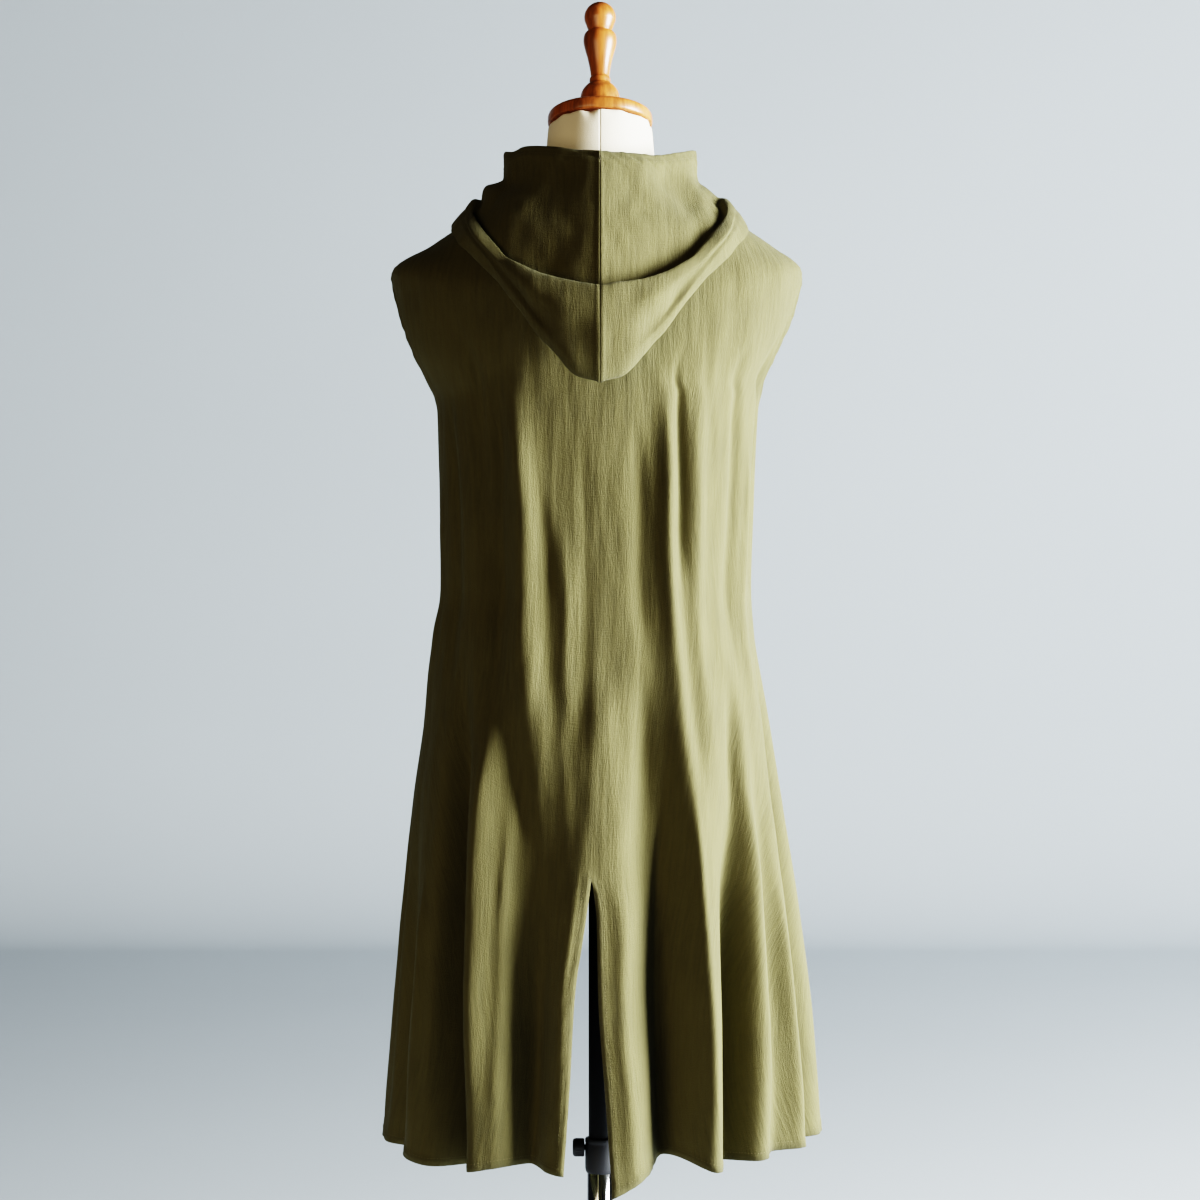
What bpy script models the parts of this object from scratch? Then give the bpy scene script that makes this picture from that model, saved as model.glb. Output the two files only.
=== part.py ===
"""A hooded, sleeveless surcoat on a limbless dress form with a telescoping stand.

Metres, +Z up.  The origin is on the floor, at the centre of the round base.  The garment's
back, with the hood lying down on it, faces -Y; its front faces +Y.
"""

import math
from collections import namedtuple

import bmesh
import bpy
from mathutils import Matrix, Vector

# ---------------------------------------------------------------- driving dimensions
WALL = 0.002            # cloth wall of the back and front
HOOD_WALL = 0.0011      # cloth wall of the hood, which lies in tighter folds
SEAM_GAP = 0.0003       # gap between two pieces at a seam
SEAM_STRIP = 0.0015     # flat strip beside the hood's centre seam
FIT_GAP = 0.0003        # gap between two hard pieces that touch
PLAN_POWER = 2.3        # superellipse power of every ring round the body

HEM_Z = 0.443           # mean height of the bottom edge
HIP_Z = 1.020           # below this the skirt flares and its folds open
SLIT_TOP_BACK = 0.748
SLIT_TOP_FRONT = 0.810
SLIT_REACH = 0.34       # share of the half panel that a slit edge pulls along

BASE_HEIGHT = 0.030
POLE_RADIUS = 0.0125    # black upper tube
SLEEVE_RADIUS = 0.0140  # chrome lower tube
SLEEVE_BORE = 0.0128
POLE_BOTTOM = 0.210
COLLAR_BOTTOM = 0.4020
COLLAR_TOP = 0.4400
KNOB_Z = 0.4290
FORM_BOTTOM = 0.795
CAP_Z = 1.5525          # underside of the wooden neck cap, on the axis
CAP_THICKNESS = 0.015
CAP_TILT = math.radians(11)   # the cap slopes down towards the front

BACK_COLUMNS = 25       # columns in each half of the back
FRONT_COLUMNS = 16      # columns in each half of the front
BACK_ROWS = (10, 9)     # rows above and below the slit's top
FRONT_ROWS = (9, 6)
HOOD_COLUMNS = 18       # columns in each half of the hood
RING_COLUMNS = 32       # columns round the dress form
TURN_STEPS = 24         # steps of a turned piece

# ---------------------------------------------------------------- tables
# A ring round the garment: heights of its sides, back and front, half widths to the left
# and right, depths behind and before, and how far the armhole opens from the side.
Section = namedtuple("Section", "name side_z back_z front_z left right back front armhole")
SECTIONS = (
    Section("neckline", 1.4800, 1.466, 1.440, 0.082, 0.082, 0.079, 0.090, 0.0),
    Section("collar bone", 1.4640, 1.444, 1.415, 0.114, 0.113, 0.098, 0.106, 0.0),
    Section("mid shoulder", 1.4400, 1.415, 1.388, 0.152, 0.156, 0.112, 0.117, 0.0),
    Section("outer shoulder", 1.4180, 1.386, 1.362, 0.186, 0.189, 0.121, 0.124, 0.0),
    Section("shoulder tip", 1.3890, 1.352, 1.336, 0.229, 0.222, 0.127, 0.129, 0.0),
    Section("upper armhole", 1.3440, 1.318, 1.308, 0.219, 0.211, 0.131, 0.132, 0.026),
    Section("armhole", 1.3000, 1.285, 1.280, 0.203, 0.192, 0.133, 0.133, 0.036),
    Section("lower armhole", 1.2680, 1.262, 1.260, 0.188, 0.178, 0.134, 0.134, 0.024),
    Section("underarm", 1.2440, 1.244, 1.244, 0.179, 0.174, 0.135, 0.134, 0.0),
    Section("chest", 1.1370, 1.137, 1.137, 0.176, 0.169, 0.137, 0.132, 0.0),
    Section("waist", 1.0430, 1.043, 1.043, 0.175, 0.166, 0.139, 0.130, 0.0),
    Section("hip", 0.9950, 0.995, 0.995, 0.182, 0.169, 0.144, 0.132, 0.0),
    Section("upper skirt", 0.9120, 0.912, 0.912, 0.191, 0.183, 0.154, 0.139, 0.0),
    Section("skirt", 0.8100, 0.810, 0.810, 0.205, 0.199, 0.168, 0.150, 0.0),
    Section("lower skirt", 0.6900, 0.690, 0.690, 0.217, 0.218, 0.183, 0.162, 0.0),
    Section("calf", 0.5700, 0.570, 0.570, 0.228, 0.233, 0.194, 0.173, 0.0),
    Section("hem", 0.4430, 0.443, 0.443, 0.237, 0.242, 0.203, 0.183, 0.0),
)

UNDERARM_ROW = 8.0
# A fold: where its middle lies (-1 left seam, 1 right seam) at its top and at the hem, its
# half width there, how deep it runs inward (negative stands out), where it starts and
# where it reaches its full depth.
Fold = namedtuple("Fold", "name top hem width depth top_z full_z")
BACK_FOLDS = (
    Fold("left deep pleat", -0.560, -0.440, 0.055, 0.060, 1.030, 0.600),
    Fold("left side valley", -0.800, -0.760, 0.060, 0.020, 0.900, 0.520),
    Fold("left pleat ridge", -0.450, -0.350, 0.050, -0.007, 0.980, 0.700),
    Fold("left tail valley", -0.130, -0.150, 0.075, 0.034, 0.930, 0.480),
    Fold("right tail valley", 0.200, 0.165, 0.062, 0.056, 0.990, 0.500),
    Fold("right ridge", 0.330, 0.290, 0.050, -0.010, 0.950, 0.560),
    Fold("right deep pleat", 0.460, 0.395, 0.060, 0.046, 0.900, 0.520),
    Fold("right side valley", 0.680, 0.590, 0.075, 0.028, 0.980, 0.560),
    Fold("right edge pleat", 0.880, 0.790, 0.050, 0.028, 1.000, 0.780),
)
FRONT_FOLDS = (
    Fold("left side valley", -0.760, -0.700, 0.080, 0.030, 0.960, 0.520),
    Fold("left inner valley", -0.340, -0.320, 0.090, 0.045, 0.930, 0.500),
    Fold("right inner valley", 0.300, 0.290, 0.085, 0.042, 0.940, 0.500),
    Fold("right side valley", 0.720, 0.680, 0.080, 0.032, 0.960, 0.520),
)

# Heights of the bottom edge from the left side seam to the right one.
HemPoint = namedtuple("HemPoint", "place height")
BACK_HEM = (
    HemPoint(-1.00, 0.450), HemPoint(-0.72, 0.444), HemPoint(-0.44, 0.436),
    HemPoint(-0.20, 0.446), HemPoint(0.00, 0.439),
)
BACK_HEM_RIGHT = (
    HemPoint(0.00, 0.416), HemPoint(0.10, 0.438), HemPoint(0.20, 0.452),
    HemPoint(0.29, 0.441), HemPoint(0.55, 0.446), HemPoint(1.00, 0.456),
)
FRONT_HEM = (HemPoint(-1.00, 0.450), HemPoint(-0.40, 0.446), HemPoint(0.00, 0.442))
FRONT_HEM_RIGHT = (HemPoint(0.00, 0.440), HemPoint(0.45, 0.446), HemPoint(1.00, 0.456))

# Where the two edges of a slit hang, from its top down.
SlitPoint = namedtuple("SlitPoint", "height left right")
BACK_SLIT = (
    SlitPoint(1.000, 0.0000, 0.0000), SlitPoint(0.748, -0.0085, -0.0085),
    SlitPoint(0.700, -0.0145, -0.0035), SlitPoint(0.620, -0.0260, -0.0020),
    SlitPoint(0.530, -0.0310, 0.0045), SlitPoint(0.430, -0.0380, 0.0120),
)
FRONT_SLIT = (
    SlitPoint(1.000, 0.0000, 0.0000), SlitPoint(0.810, 0.0000, 0.0000),
    SlitPoint(0.740, -0.0220, 0.0160), SlitPoint(0.640, -0.0380, 0.0300),
    SlitPoint(0.430, -0.0480, 0.0420),
)

# The hood's profile at an angle round the neck (0 behind, 180 in front): each line runs
# round the neck, and gives its distance from the neck's axis and its height.
Turn = namedtuple("Turn", "angle out height")
HOOD_LINES = {
    "face edge": (
        Turn(0, 0.094, 1.5070), Turn(32, 0.101, 1.5066), Turn(55, 0.106, 1.5140),
        Turn(74, 0.109, 1.5200), Turn(90, 0.105, 1.5080), Turn(130, 0.104, 1.4840),
        Turn(180, 0.099, 1.4640),
    ),
    "collar": (
        Turn(0, 0.110, 1.4660), Turn(35, 0.113, 1.4720), Turn(60, 0.111, 1.4850),
        Turn(74, 0.108, 1.4910), Turn(90, 0.107, 1.4910), Turn(130, 0.110, 1.4740),
        Turn(180, 0.107, 1.4560),
    ),
    "upper hang": (
        Turn(0, 0.130, 1.4050), Turn(35, 0.132, 1.4260), Turn(60, 0.128, 1.4610),
        Turn(74, 0.120, 1.4760), Turn(90, 0.115, 1.4820), Turn(130, 0.119, 1.4640),
        Turn(180, 0.114, 1.4450),
    ),
    "valley": (
        Turn(0, 0.148, 1.3500), Turn(18, 0.149, 1.3600), Turn(35, 0.149, 1.3820),
        Turn(50, 0.146, 1.4150), Turn(60, 0.139, 1.4380), Turn(72, 0.133, 1.4600),
        Turn(90, 0.126, 1.4730), Turn(130, 0.126, 1.4530), Turn(180, 0.121, 1.4350),
    ),
    "lip": (
        Turn(0, 0.165, 1.3560), Turn(18, 0.168, 1.3680), Turn(33, 0.169, 1.3880),
        Turn(47, 0.164, 1.4190), Turn(60, 0.156, 1.4440), Turn(75, 0.142, 1.4640),
        Turn(90, 0.134, 1.4690), Turn(130, 0.135, 1.4540), Turn(180, 0.129, 1.4350),
    ),
    "belly": (
        Turn(0, 0.176, 1.3280), Turn(18, 0.178, 1.3460), Turn(33, 0.176, 1.3770),
        Turn(47, 0.171, 1.4130), Turn(60, 0.164, 1.4390), Turn(75, 0.150, 1.4580),
        Turn(90, 0.142, 1.4640), Turn(130, 0.139, 1.4480), Turn(180, 0.133, 1.4290),
    ),
    "crease": (
        Turn(0, 0.178, 1.2960), Turn(8, 0.177, 1.3020), Turn(18, 0.174, 1.3180),
        Turn(33, 0.169, 1.3660), Turn(47, 0.166, 1.4075), Turn(60, 0.160, 1.4345),
        Turn(75, 0.152, 1.4540), Turn(90, 0.146, 1.4610), Turn(130, 0.138, 1.4420),
        Turn(180, 0.132, 1.4230),
    ),
    "band": (
        Turn(0, 0.175, 1.2700), Turn(8, 0.175, 1.2760), Turn(18, 0.176, 1.3045),
        Turn(33, 0.176, 1.3560), Turn(47, 0.173, 1.4010), Turn(60, 0.168, 1.4280),
        Turn(75, 0.159, 1.4470), Turn(90, 0.150, 1.4560), Turn(130, 0.141, 1.4360),
        Turn(180, 0.134, 1.4160),
    ),
    "low edge": (
        Turn(0, 0.163, 1.2570), Turn(8, 0.164, 1.2640), Turn(18, 0.167, 1.2930),
        Turn(33, 0.170, 1.3450), Turn(47, 0.170, 1.3860), Turn(60, 0.167, 1.4130),
        Turn(75, 0.159, 1.4350), Turn(90, 0.150, 1.4460), Turn(130, 0.139, 1.4300),
        Turn(180, 0.132, 1.4080),
    ),
    "underside": (
        Turn(0, 0.145, 1.3000), Turn(18, 0.148, 1.3200), Turn(33, 0.154, 1.3610),
        Turn(47, 0.157, 1.3930), Turn(60, 0.152, 1.4190), Turn(75, 0.145, 1.4390),
        Turn(90, 0.139, 1.4490), Turn(130, 0.130, 1.4360), Turn(180, 0.124, 1.4150),
    ),
    "neck hang": (
        Turn(0, 0.118, 1.3850), Turn(35, 0.125, 1.4050), Turn(60, 0.124, 1.4330),
        Turn(90, 0.120, 1.4570), Turn(130, 0.110, 1.4450), Turn(180, 0.108, 1.4220),
    ),
}
# The left half stands higher behind the ear and further out than the right one.
HOOD_LEFT_LINES = {
    "face edge": (
        Turn(0, 0.094, 1.5070), Turn(20, 0.098, 1.5110), Turn(35, 0.102, 1.5165),
        Turn(50, 0.105, 1.5190), Turn(64, 0.107, 1.5165), Turn(74, 0.109, 1.5190),
        Turn(90, 0.105, 1.5080), Turn(130, 0.104, 1.4840), Turn(180, 0.099, 1.4640),
    ),
    "upper hang": (
        Turn(0, 0.130, 1.4050), Turn(35, 0.132, 1.4260), Turn(60, 0.128, 1.4620),
        Turn(74, 0.127, 1.4790), Turn(90, 0.123, 1.4840), Turn(112, 0.119, 1.4730),
        Turn(130, 0.119, 1.4640), Turn(180, 0.114, 1.4450),
    ),
}
# The least distance, outward and level, from the garment's plain surface to each line,
# behind the neck and beside it, where the hood lies on the shoulders.
Clearance = namedtuple("Clearance", "behind beside")
HOOD_CLEARANCE = {
    "face edge": Clearance(0.0, 0.0), "collar": Clearance(0.0, 0.0),
    "upper hang": Clearance(0.021, 0.014), "valley": Clearance(0.017, 0.012),
    "lip": Clearance(0.026, 0.017), "belly": Clearance(0.034, 0.021),
    "crease": Clearance(0.030, 0.019), "band": Clearance(0.028, 0.017),
    "low edge": Clearance(0.017, 0.011), "underside": Clearance(0.010, 0.006),
    "neck hang": Clearance(0.010, 0.008),
}
# How far down SECTIONS the hood's underside still follows the cloth below it, and how high
# above that cloth it lies.
Lying = namedtuple("Lying", "angle row lift")
HOOD_ROOT = (
    Lying(0, 1.30, 0.0060), Lying(45, 1.00, 0.0060), Lying(90, 0.60, 0.0050),
    Lying(135, 0.65, 0.0050), Lying(180, 0.70, 0.0050),
)
HOOD_STEPS = (2, 2, 2, 2, 2, 2, 2, 2, 2, 1, 1, 1)   # rows between one line and the next

# A ring round the dress form.
FormRing = namedtuple("FormRing", "name side_z back_z front_z half back front")
FORM_RINGS = (
    FormRing("neck top", 1.5515, 1.5627, 1.5403, 0.0572, 0.0572, 0.0572),
    FormRing("neck", 1.5300, 1.5370, 1.5200, 0.0590, 0.0590, 0.0590),
    FormRing("low neck", 1.5020, 1.5060, 1.4880, 0.0620, 0.0620, 0.0630),
    FormRing("neck root", 1.4800, 1.4780, 1.4580, 0.0690, 0.0660, 0.0690),
    FormRing("collar bone", 1.4660, 1.4560, 1.4360, 0.0880, 0.0730, 0.0780),
    FormRing("inner shoulder", 1.4480, 1.4330, 1.4120, 0.1200, 0.0850, 0.0900),
    FormRing("mid shoulder", 1.4250, 1.4080, 1.3880, 0.1560, 0.0960, 0.1000),
    FormRing("outer shoulder", 1.4020, 1.3820, 1.3640, 0.1820, 0.1040, 0.1070),
    FormRing("shoulder end", 1.3720, 1.3560, 1.3420, 0.1940, 0.1090, 0.1120),
    FormRing("arm plate", 1.3300, 1.3250, 1.3150, 0.1930, 0.1130, 0.1170),
    FormRing("lower arm plate", 1.2850, 1.2850, 1.2800, 0.1780, 0.1160, 0.1200),
    FormRing("bust", 1.2400, 1.2400, 1.2400, 0.1640, 0.1160, 0.1210),
    FormRing("ribs", 1.1800, 1.1800, 1.1800, 0.1540, 0.1100, 0.1160),
    FormRing("upper waist", 1.1100, 1.1100, 1.1100, 0.1400, 0.1010, 0.1050),
    FormRing("waist", 1.0500, 1.0500, 1.0500, 0.1330, 0.0960, 0.0980),
    FormRing("lower waist", 0.9900, 0.9900, 0.9900, 0.1390, 0.1000, 0.0990),
    FormRing("hip", 0.9300, 0.9300, 0.9300, 0.1510, 0.1090, 0.1040),
    FormRing("low hip", 0.8600, 0.8600, 0.8600, 0.1580, 0.1140, 0.1060),
    FormRing("lower edge", 0.8030, 0.8030, 0.8030, 0.1560, 0.1120, 0.1040),
    FormRing("underside", 0.7950, 0.7950, 0.7950, 0.1490, 0.1050, 0.0970),
)
FORM_ROWS = 26

# Turned profiles, from the top down: radius and height.
Ring = namedtuple("Ring", "radius height")
FINIAL_PROFILE = (      # heights above the cap's top
    Ring(0.0000, 0.1291), Ring(0.0060, 0.1279), Ring(0.0093, 0.1260), Ring(0.0147, 0.1209),
    Ring(0.0169, 0.1166), Ring(0.0177, 0.1124), Ring(0.0171, 0.1073), Ring(0.0156, 0.1039),
    Ring(0.0144, 0.0996), Ring(0.0127, 0.0962), Ring(0.0122, 0.0949), Ring(0.0150, 0.0934),
    Ring(0.0177, 0.0903), Ring(0.0185, 0.0861), Ring(0.0184, 0.0809), Ring(0.0166, 0.0732),
    Ring(0.0141, 0.0648), Ring(0.0121, 0.0563), Ring(0.0107, 0.0477), Ring(0.0100, 0.0409),
    Ring(0.0114, 0.0393), Ring(0.0117, 0.0333), Ring(0.0137, 0.0321), Ring(0.0169, 0.0290),
    Ring(0.0194, 0.0256), Ring(0.0210, 0.0222), Ring(0.0220, 0.0160), Ring(0.0226, 0.0060),
    Ring(0.0228, 0.0000), Ring(0.0000, 0.0000),
)
CAP_PROFILE = (         # heights above the cap's underside
    Ring(0.0000, 0.0150), Ring(0.0500, 0.0150), Ring(0.0548, 0.0141), Ring(0.0572, 0.0116),
    Ring(0.0578, 0.0080), Ring(0.0576, 0.0028), Ring(0.0562, 0.0000), Ring(0.0000, 0.0000),
)
BASE_PROFILE = (
    Ring(0.0000, 0.0300), Ring(0.0240, 0.0300), Ring(0.0275, 0.0285), Ring(0.0320, 0.0250),
    Ring(0.0600, 0.0205), Ring(0.1300, 0.0165), Ring(0.1820, 0.0125), Ring(0.1880, 0.0100),
    Ring(0.1900, 0.0065), Ring(0.1900, 0.0020), Ring(0.1880, 0.0000), Ring(0.0000, 0.0000),
)
SOCKET_PROFILE = (
    Ring(0.0450, 0.7947), Ring(0.0450, 0.7897), Ring(0.0430, 0.7887), Ring(0.0210, 0.7877),
    Ring(0.0190, 0.7860), Ring(0.0180, 0.7400), Ring(0.0170, 0.7380),
    Ring(0.0128, 0.7380), Ring(0.0128, 0.7947),
)

COLOURS = {             # base colour, roughness, metallic
    "olive cloth": ((0.27, 0.25, 0.12), 0.90, 0.0),
    "form cover": ((0.80, 0.77, 0.66), 0.85, 0.0),
    "turned wood": ((0.56, 0.28, 0.12), 0.45, 0.0),
    "black tube": ((0.02, 0.02, 0.02), 0.40, 0.6),
    "black plastic": ((0.03, 0.03, 0.03), 0.50, 0.0),
    "chrome": ((0.75, 0.76, 0.78), 0.12, 1.0),
}


# ---------------------------------------------------------------- helpers
def smooth(keys, values, at):
    """Monotone cubic curve through (keys, values), read at one place."""
    if at <= keys[0]:
        return values[0]
    if at >= keys[-1]:
        return values[-1]
    last = len(keys) - 1
    slopes = [(values[i + 1] - values[i]) / (keys[i + 1] - keys[i]) for i in range(last)]
    tangents = [slopes[0]]
    for before, after in zip(slopes, slopes[1:]):
        tangents.append(2 * before * after / (before + after) if before * after > 0 else 0.0)
    tangents.append(slopes[-1])
    i = max(j for j in range(last) if keys[j] <= at)
    step = keys[i + 1] - keys[i]
    t = (at - keys[i]) / step
    lift = (1 + 2 * t) * (1 - t) ** 2 * values[i] + t * t * (3 - 2 * t) * values[i + 1]
    return lift + step * (t * (1 - t) ** 2 * tangents[i] - t * t * (1 - t) * tangents[i + 1])


def read(rows, key, column, at):
    """One named column of a table, read smoothly at a place between its rows."""
    order = sorted(rows, key=lambda row: getattr(row, key))
    keys = [getattr(row, key) for row in order]
    return smooth(keys, [getattr(row, column) for row in order], at)


def ramp(start, end, value):
    """0 at start, 1 at end, with soft ends."""
    t = min(1.0, max(0.0, (value - start) / (end - start)))
    return t * t * (3 - 2 * t)


def spread(first, last, count):
    """Evenly spaced numbers, both ends included."""
    return [first + (last - first) * i / (count - 1) for i in range(count)]


# ---------------------------------------------------------------- garment surface
def section_value(column, row):
    """A column of SECTIONS at a fractional row."""
    return smooth(range(len(SECTIONS)), [getattr(s, column) for s in SECTIONS], row)


def hem_height(side, half, place):
    """Height of the bottom edge of a panel, for its left or right half."""
    tables = {
        ("back", "left"): BACK_HEM, ("back", "right"): BACK_HEM_RIGHT,
        ("front", "left"): FRONT_HEM, ("front", "right"): FRONT_HEM_RIGHT,
    }
    return read(tables[side, half], "place", "height", place)


def fold_depth(side, place, height):
    """How far the folds push the cloth inward at a place and height."""
    depth = 0.0
    for fold in BACK_FOLDS if side == "back" else FRONT_FOLDS:
        if height < fold.top_z:
            down = (fold.top_z - height) / (fold.top_z - HEM_Z)
            middle = fold.top + (fold.hem - fold.top) * min(1.0, down)
            grown = ramp(fold.top_z, fold.full_z, height)
            depth += fold.depth * grown * math.exp(-(((place - middle) / fold.width) ** 2))
    return depth


def plain_point(side, place, row):
    """Point of the garment without folds: place -1 left to 1 right, row down SECTIONS."""
    half = section_value("left" if place < 0 else "right", row)
    depth = section_value(side, row)
    opening = section_value("armhole", row)
    side_z = section_value("side_z", row)
    middle_z = section_value(side + "_z", row)
    edge = math.acos((opening / depth) ** (PLAN_POWER / 2))
    angle = abs(place) * edge
    power = 2 / PLAN_POWER
    across = half * (math.sin(angle) / math.sin(edge)) ** power
    back = depth * max(0.0, math.cos(angle)) ** power
    height = side_z + (middle_z - side_z) * math.cos(angle) ** 2
    facing = -1 if side == "back" else 1
    return Vector((math.copysign(across, place), facing * max(back, SEAM_GAP / 2), height))


def panel_point(side, half, place, row):
    """Point of the outer face of the back or front panel, folds, slit and hem included."""
    point = plain_point(side, place, row)
    edge_z = hem_height(side, half, place)
    if point.z < HIP_Z:
        point.z += (edge_z - HEM_Z) * (HIP_Z - point.z) / (HIP_Z - HEM_Z)
    width = section_value("left" if place < 0 else "right", row)
    depth = section_value(side, row)
    inward = Vector((-point.x / width ** 2, -point.y / depth ** 2, 0)).normalized()
    point += inward * fold_depth(side, place, point.z) * ramp(1.0, 0.9, abs(place))
    slit = BACK_SLIT if side == "back" else FRONT_SLIT
    pull = max(0.0, 1 - abs(place) / SLIT_REACH) ** 2
    point.x += pull * read(slit, "height", half, point.z)
    return point


def row_at_height(side, height):
    """The fractional row at which the middle of a panel is at a height."""
    low, high = 0.0, len(SECTIONS) - 1.0
    for _ in range(40):
        middle = (low + high) / 2
        if panel_point(side, "left", 0.0, middle).z > height:
            low = middle
        else:
            high = middle
    return (low + high) / 2


def panel_sheet(side, columns, rows_above, rows_below, slit_top):
    """Open sheet of one panel: whole above the slit's top, two tails below it."""
    at_slit = row_at_height(side, slit_top)
    rows = spread(0.0, at_slit, rows_above + 1)
    rows += spread(at_slit, len(SECTIONS) - 1.0, rows_below + 1)[1:]
    mesh = bmesh.new()
    left = []
    right = []
    for number, row in enumerate(rows):
        places = spread(0.0, 1.0, columns + 1)
        left_line = [mesh.verts.new(panel_point(side, "left", -p, row)) for p in places]
        right_line = [mesh.verts.new(panel_point(side, "right", p, row)) for p in places[1:]]
        if number <= rows_above:
            right_line.insert(0, left_line[0])
        else:
            right_line.insert(0, mesh.verts.new(panel_point(side, "right", 0.0, row)))
        left.append(left_line)
        right.append(right_line)
    facing_out = side == "back"
    for lines, flip in ((left, facing_out), (right, not facing_out)):
        join_lines(mesh, lines, flip)
    return mesh


def join_lines(mesh, lines, flip):
    """Quads between each line of vertices and the next."""
    for upper, lower in zip(lines, lines[1:]):
        for i in range(len(upper) - 1):
            corners = [upper[i], lower[i], lower[i + 1], upper[i + 1]]
            mesh.faces.new(reversed(corners) if flip else corners)


# ---------------------------------------------------------------- hood surface
def garment_out(angle, height):
    """How far the plain garment is from the neck's axis at an angle and height."""
    side = "back" if angle <= 90 else "front"
    turn = math.radians(min(angle, 180 - angle))
    power = PLAN_POWER / 2

    def ring_point(row):
        half, depth = section_value("left", row), section_value(side, row)
        slant = math.atan2((math.sin(turn) * depth) ** power, (math.cos(turn) * half) ** power)
        across = half * math.sin(slant) ** (1 / power)
        behind = depth * math.cos(slant) ** (1 / power)
        drop = section_value(side + "_z", row) - section_value("side_z", row)
        return math.hypot(across, behind), section_value("side_z", row) + drop * math.cos(slant) ** 2

    low, high = 0.0, UNDERARM_ROW
    if ring_point(low)[1] <= height:
        return 0.0
    for _ in range(20):
        middle = (low + high) / 2
        if ring_point(middle)[1] > height:
            low = middle
        else:
            high = middle
    return ring_point(low)[0]


def hood_profile(angle, steps):
    """Points of the hood from its face edge to the neck seam at an angle round the neck."""
    turn = math.radians(angle)
    side = "back" if abs(angle) <= 90 else "front"
    lines = HOOD_LINES if angle > 0 else {**HOOD_LINES, **HOOD_LEFT_LINES}
    beside = ramp(45, 80, abs(angle))
    keys = []
    for name, line in lines.items():
        height = read(line, "angle", "height", abs(angle))
        least = HOOD_CLEARANCE[name]
        below = garment_out(abs(angle), height)
        nearest = below + least.behind + (least.beside - least.behind) * beside
        out = max(read(line, "angle", "out", abs(angle)), nearest)
        keys.append(Vector((out * math.sin(turn), -out * math.cos(turn), height)))
    place = abs(angle) / 90 if side == "back" else (180 - abs(angle)) / 90
    place = math.copysign(place, angle)
    row = read(HOOD_ROOT, "angle", "row", abs(angle))
    keys.append(lifted_point(side, place, row, read(HOOD_ROOT, "angle", "lift", abs(angle))))
    keys.append(lifted_point(side, place, 0.0, 2 * SEAM_GAP))
    return rounded_line(keys, steps)


def lifted_point(side, place, row, lift):
    """Point above the plain garment, square to it."""
    point = plain_point(side, place, row)
    down = (plain_point(side, place, row + 0.2) - point).normalized()
    upright = Vector((0, 0, 1)) - down * down.z
    return point + upright.normalized() * lift


def rounded_line(keys, steps):
    """Catmull-Rom curve through the key points, with so many steps in each stretch."""
    ends = [2 * keys[0] - keys[1]] + keys + [2 * keys[-1] - keys[-2]]
    line = [keys[0]]
    for i, count in enumerate(steps):
        a, b, c, d = ends[i:i + 4]
        for step in range(1, count + 1):
            t = step / count
            line.append(0.5 * (2 * b + (c - a) * t + (2 * a - 5 * b + 4 * c - d) * t * t
                               + (3 * b - a - 3 * c + d) * t ** 3))
    return line


def hood_sheet(side_sign):
    """Open sheet of the left (-1) or right (1) half of the hood."""
    mesh = bmesh.new()
    lines = []
    angles = [0.0] + spread(0.0, 180.0, HOOD_COLUMNS + 1) + [180.0]
    for number, angle in enumerate(angles):
        at_seam = number in (0, len(angles) - 1)
        nearest = SEAM_GAP / 2 if at_seam else SEAM_GAP / 2 + SEAM_STRIP
        line = []
        for point in hood_profile(side_sign * max(angle, 0.0001), HOOD_STEPS):
            point.x = side_sign * max(side_sign * point.x, nearest)
            if at_seam:
                point.x = side_sign * nearest
            line.append(mesh.verts.new(point))
        lines.append(line)
    join_lines(mesh, lines, side_sign > 0)
    return mesh


# ---------------------------------------------------------------- object makers
def material(name):
    """Principled material in one of the object's colours."""
    colour, roughness, metallic = COLOURS[name]
    made = bpy.data.materials.get(name) or bpy.data.materials.new(name)
    made.use_nodes = True
    shader = made.node_tree.nodes["Principled BSDF"]
    shader.inputs["Base Color"].default_value = (*colour, 1)
    shader.inputs["Roughness"].default_value = roughness
    shader.inputs["Metallic"].default_value = metallic
    return made


def add_object(collection, name, mesh, finish):
    """Object from a bmesh, smooth shaded, with its material."""
    data = bpy.data.meshes.new(name)
    mesh.to_mesh(data)
    mesh.free()
    data.materials.append(material(finish))
    data.shade_smooth()
    made = bpy.data.objects.new(name, data)
    collection.objects.link(made)
    return made


def add_cloth(collection, name, sheet, thickness):
    """Cloth piece: an open sheet given its wall, on the side away from view."""
    piece = add_object(collection, name, sheet, "olive cloth")
    wall = piece.modifiers.new("wall", "SOLIDIFY")
    wall.thickness = thickness
    wall.offset = -1
    return piece


def add_turned(collection, name, rings, finish, closed=False):
    """Turned piece: a profile, from the top down, swept round the Z axis."""
    mesh = bmesh.new()
    line = [mesh.verts.new((ring.radius, 0, ring.height)) for ring in rings]
    for upper, lower in zip(line, line[1:]):
        mesh.edges.new((upper, lower))
    if closed:
        mesh.edges.new((line[-1], line[0]))
    piece = add_object(collection, name, mesh, finish)
    turn = piece.modifiers.new("turn", "SCREW")
    turn.steps = TURN_STEPS
    turn.render_steps = TURN_STEPS
    turn.use_merge_vertices = True
    turn.merge_threshold = 0.00001
    return piece


def cut(piece, cutters, tool):
    """Take a cutter's shape out of a piece."""
    cutters.objects.link(tool)
    tool.hide_render = True
    tool.display_type = "WIRE"
    hole = piece.modifiers.new("cut", "BOOLEAN")
    hole.operation = "DIFFERENCE"
    hole.object = tool
    return tool


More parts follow.
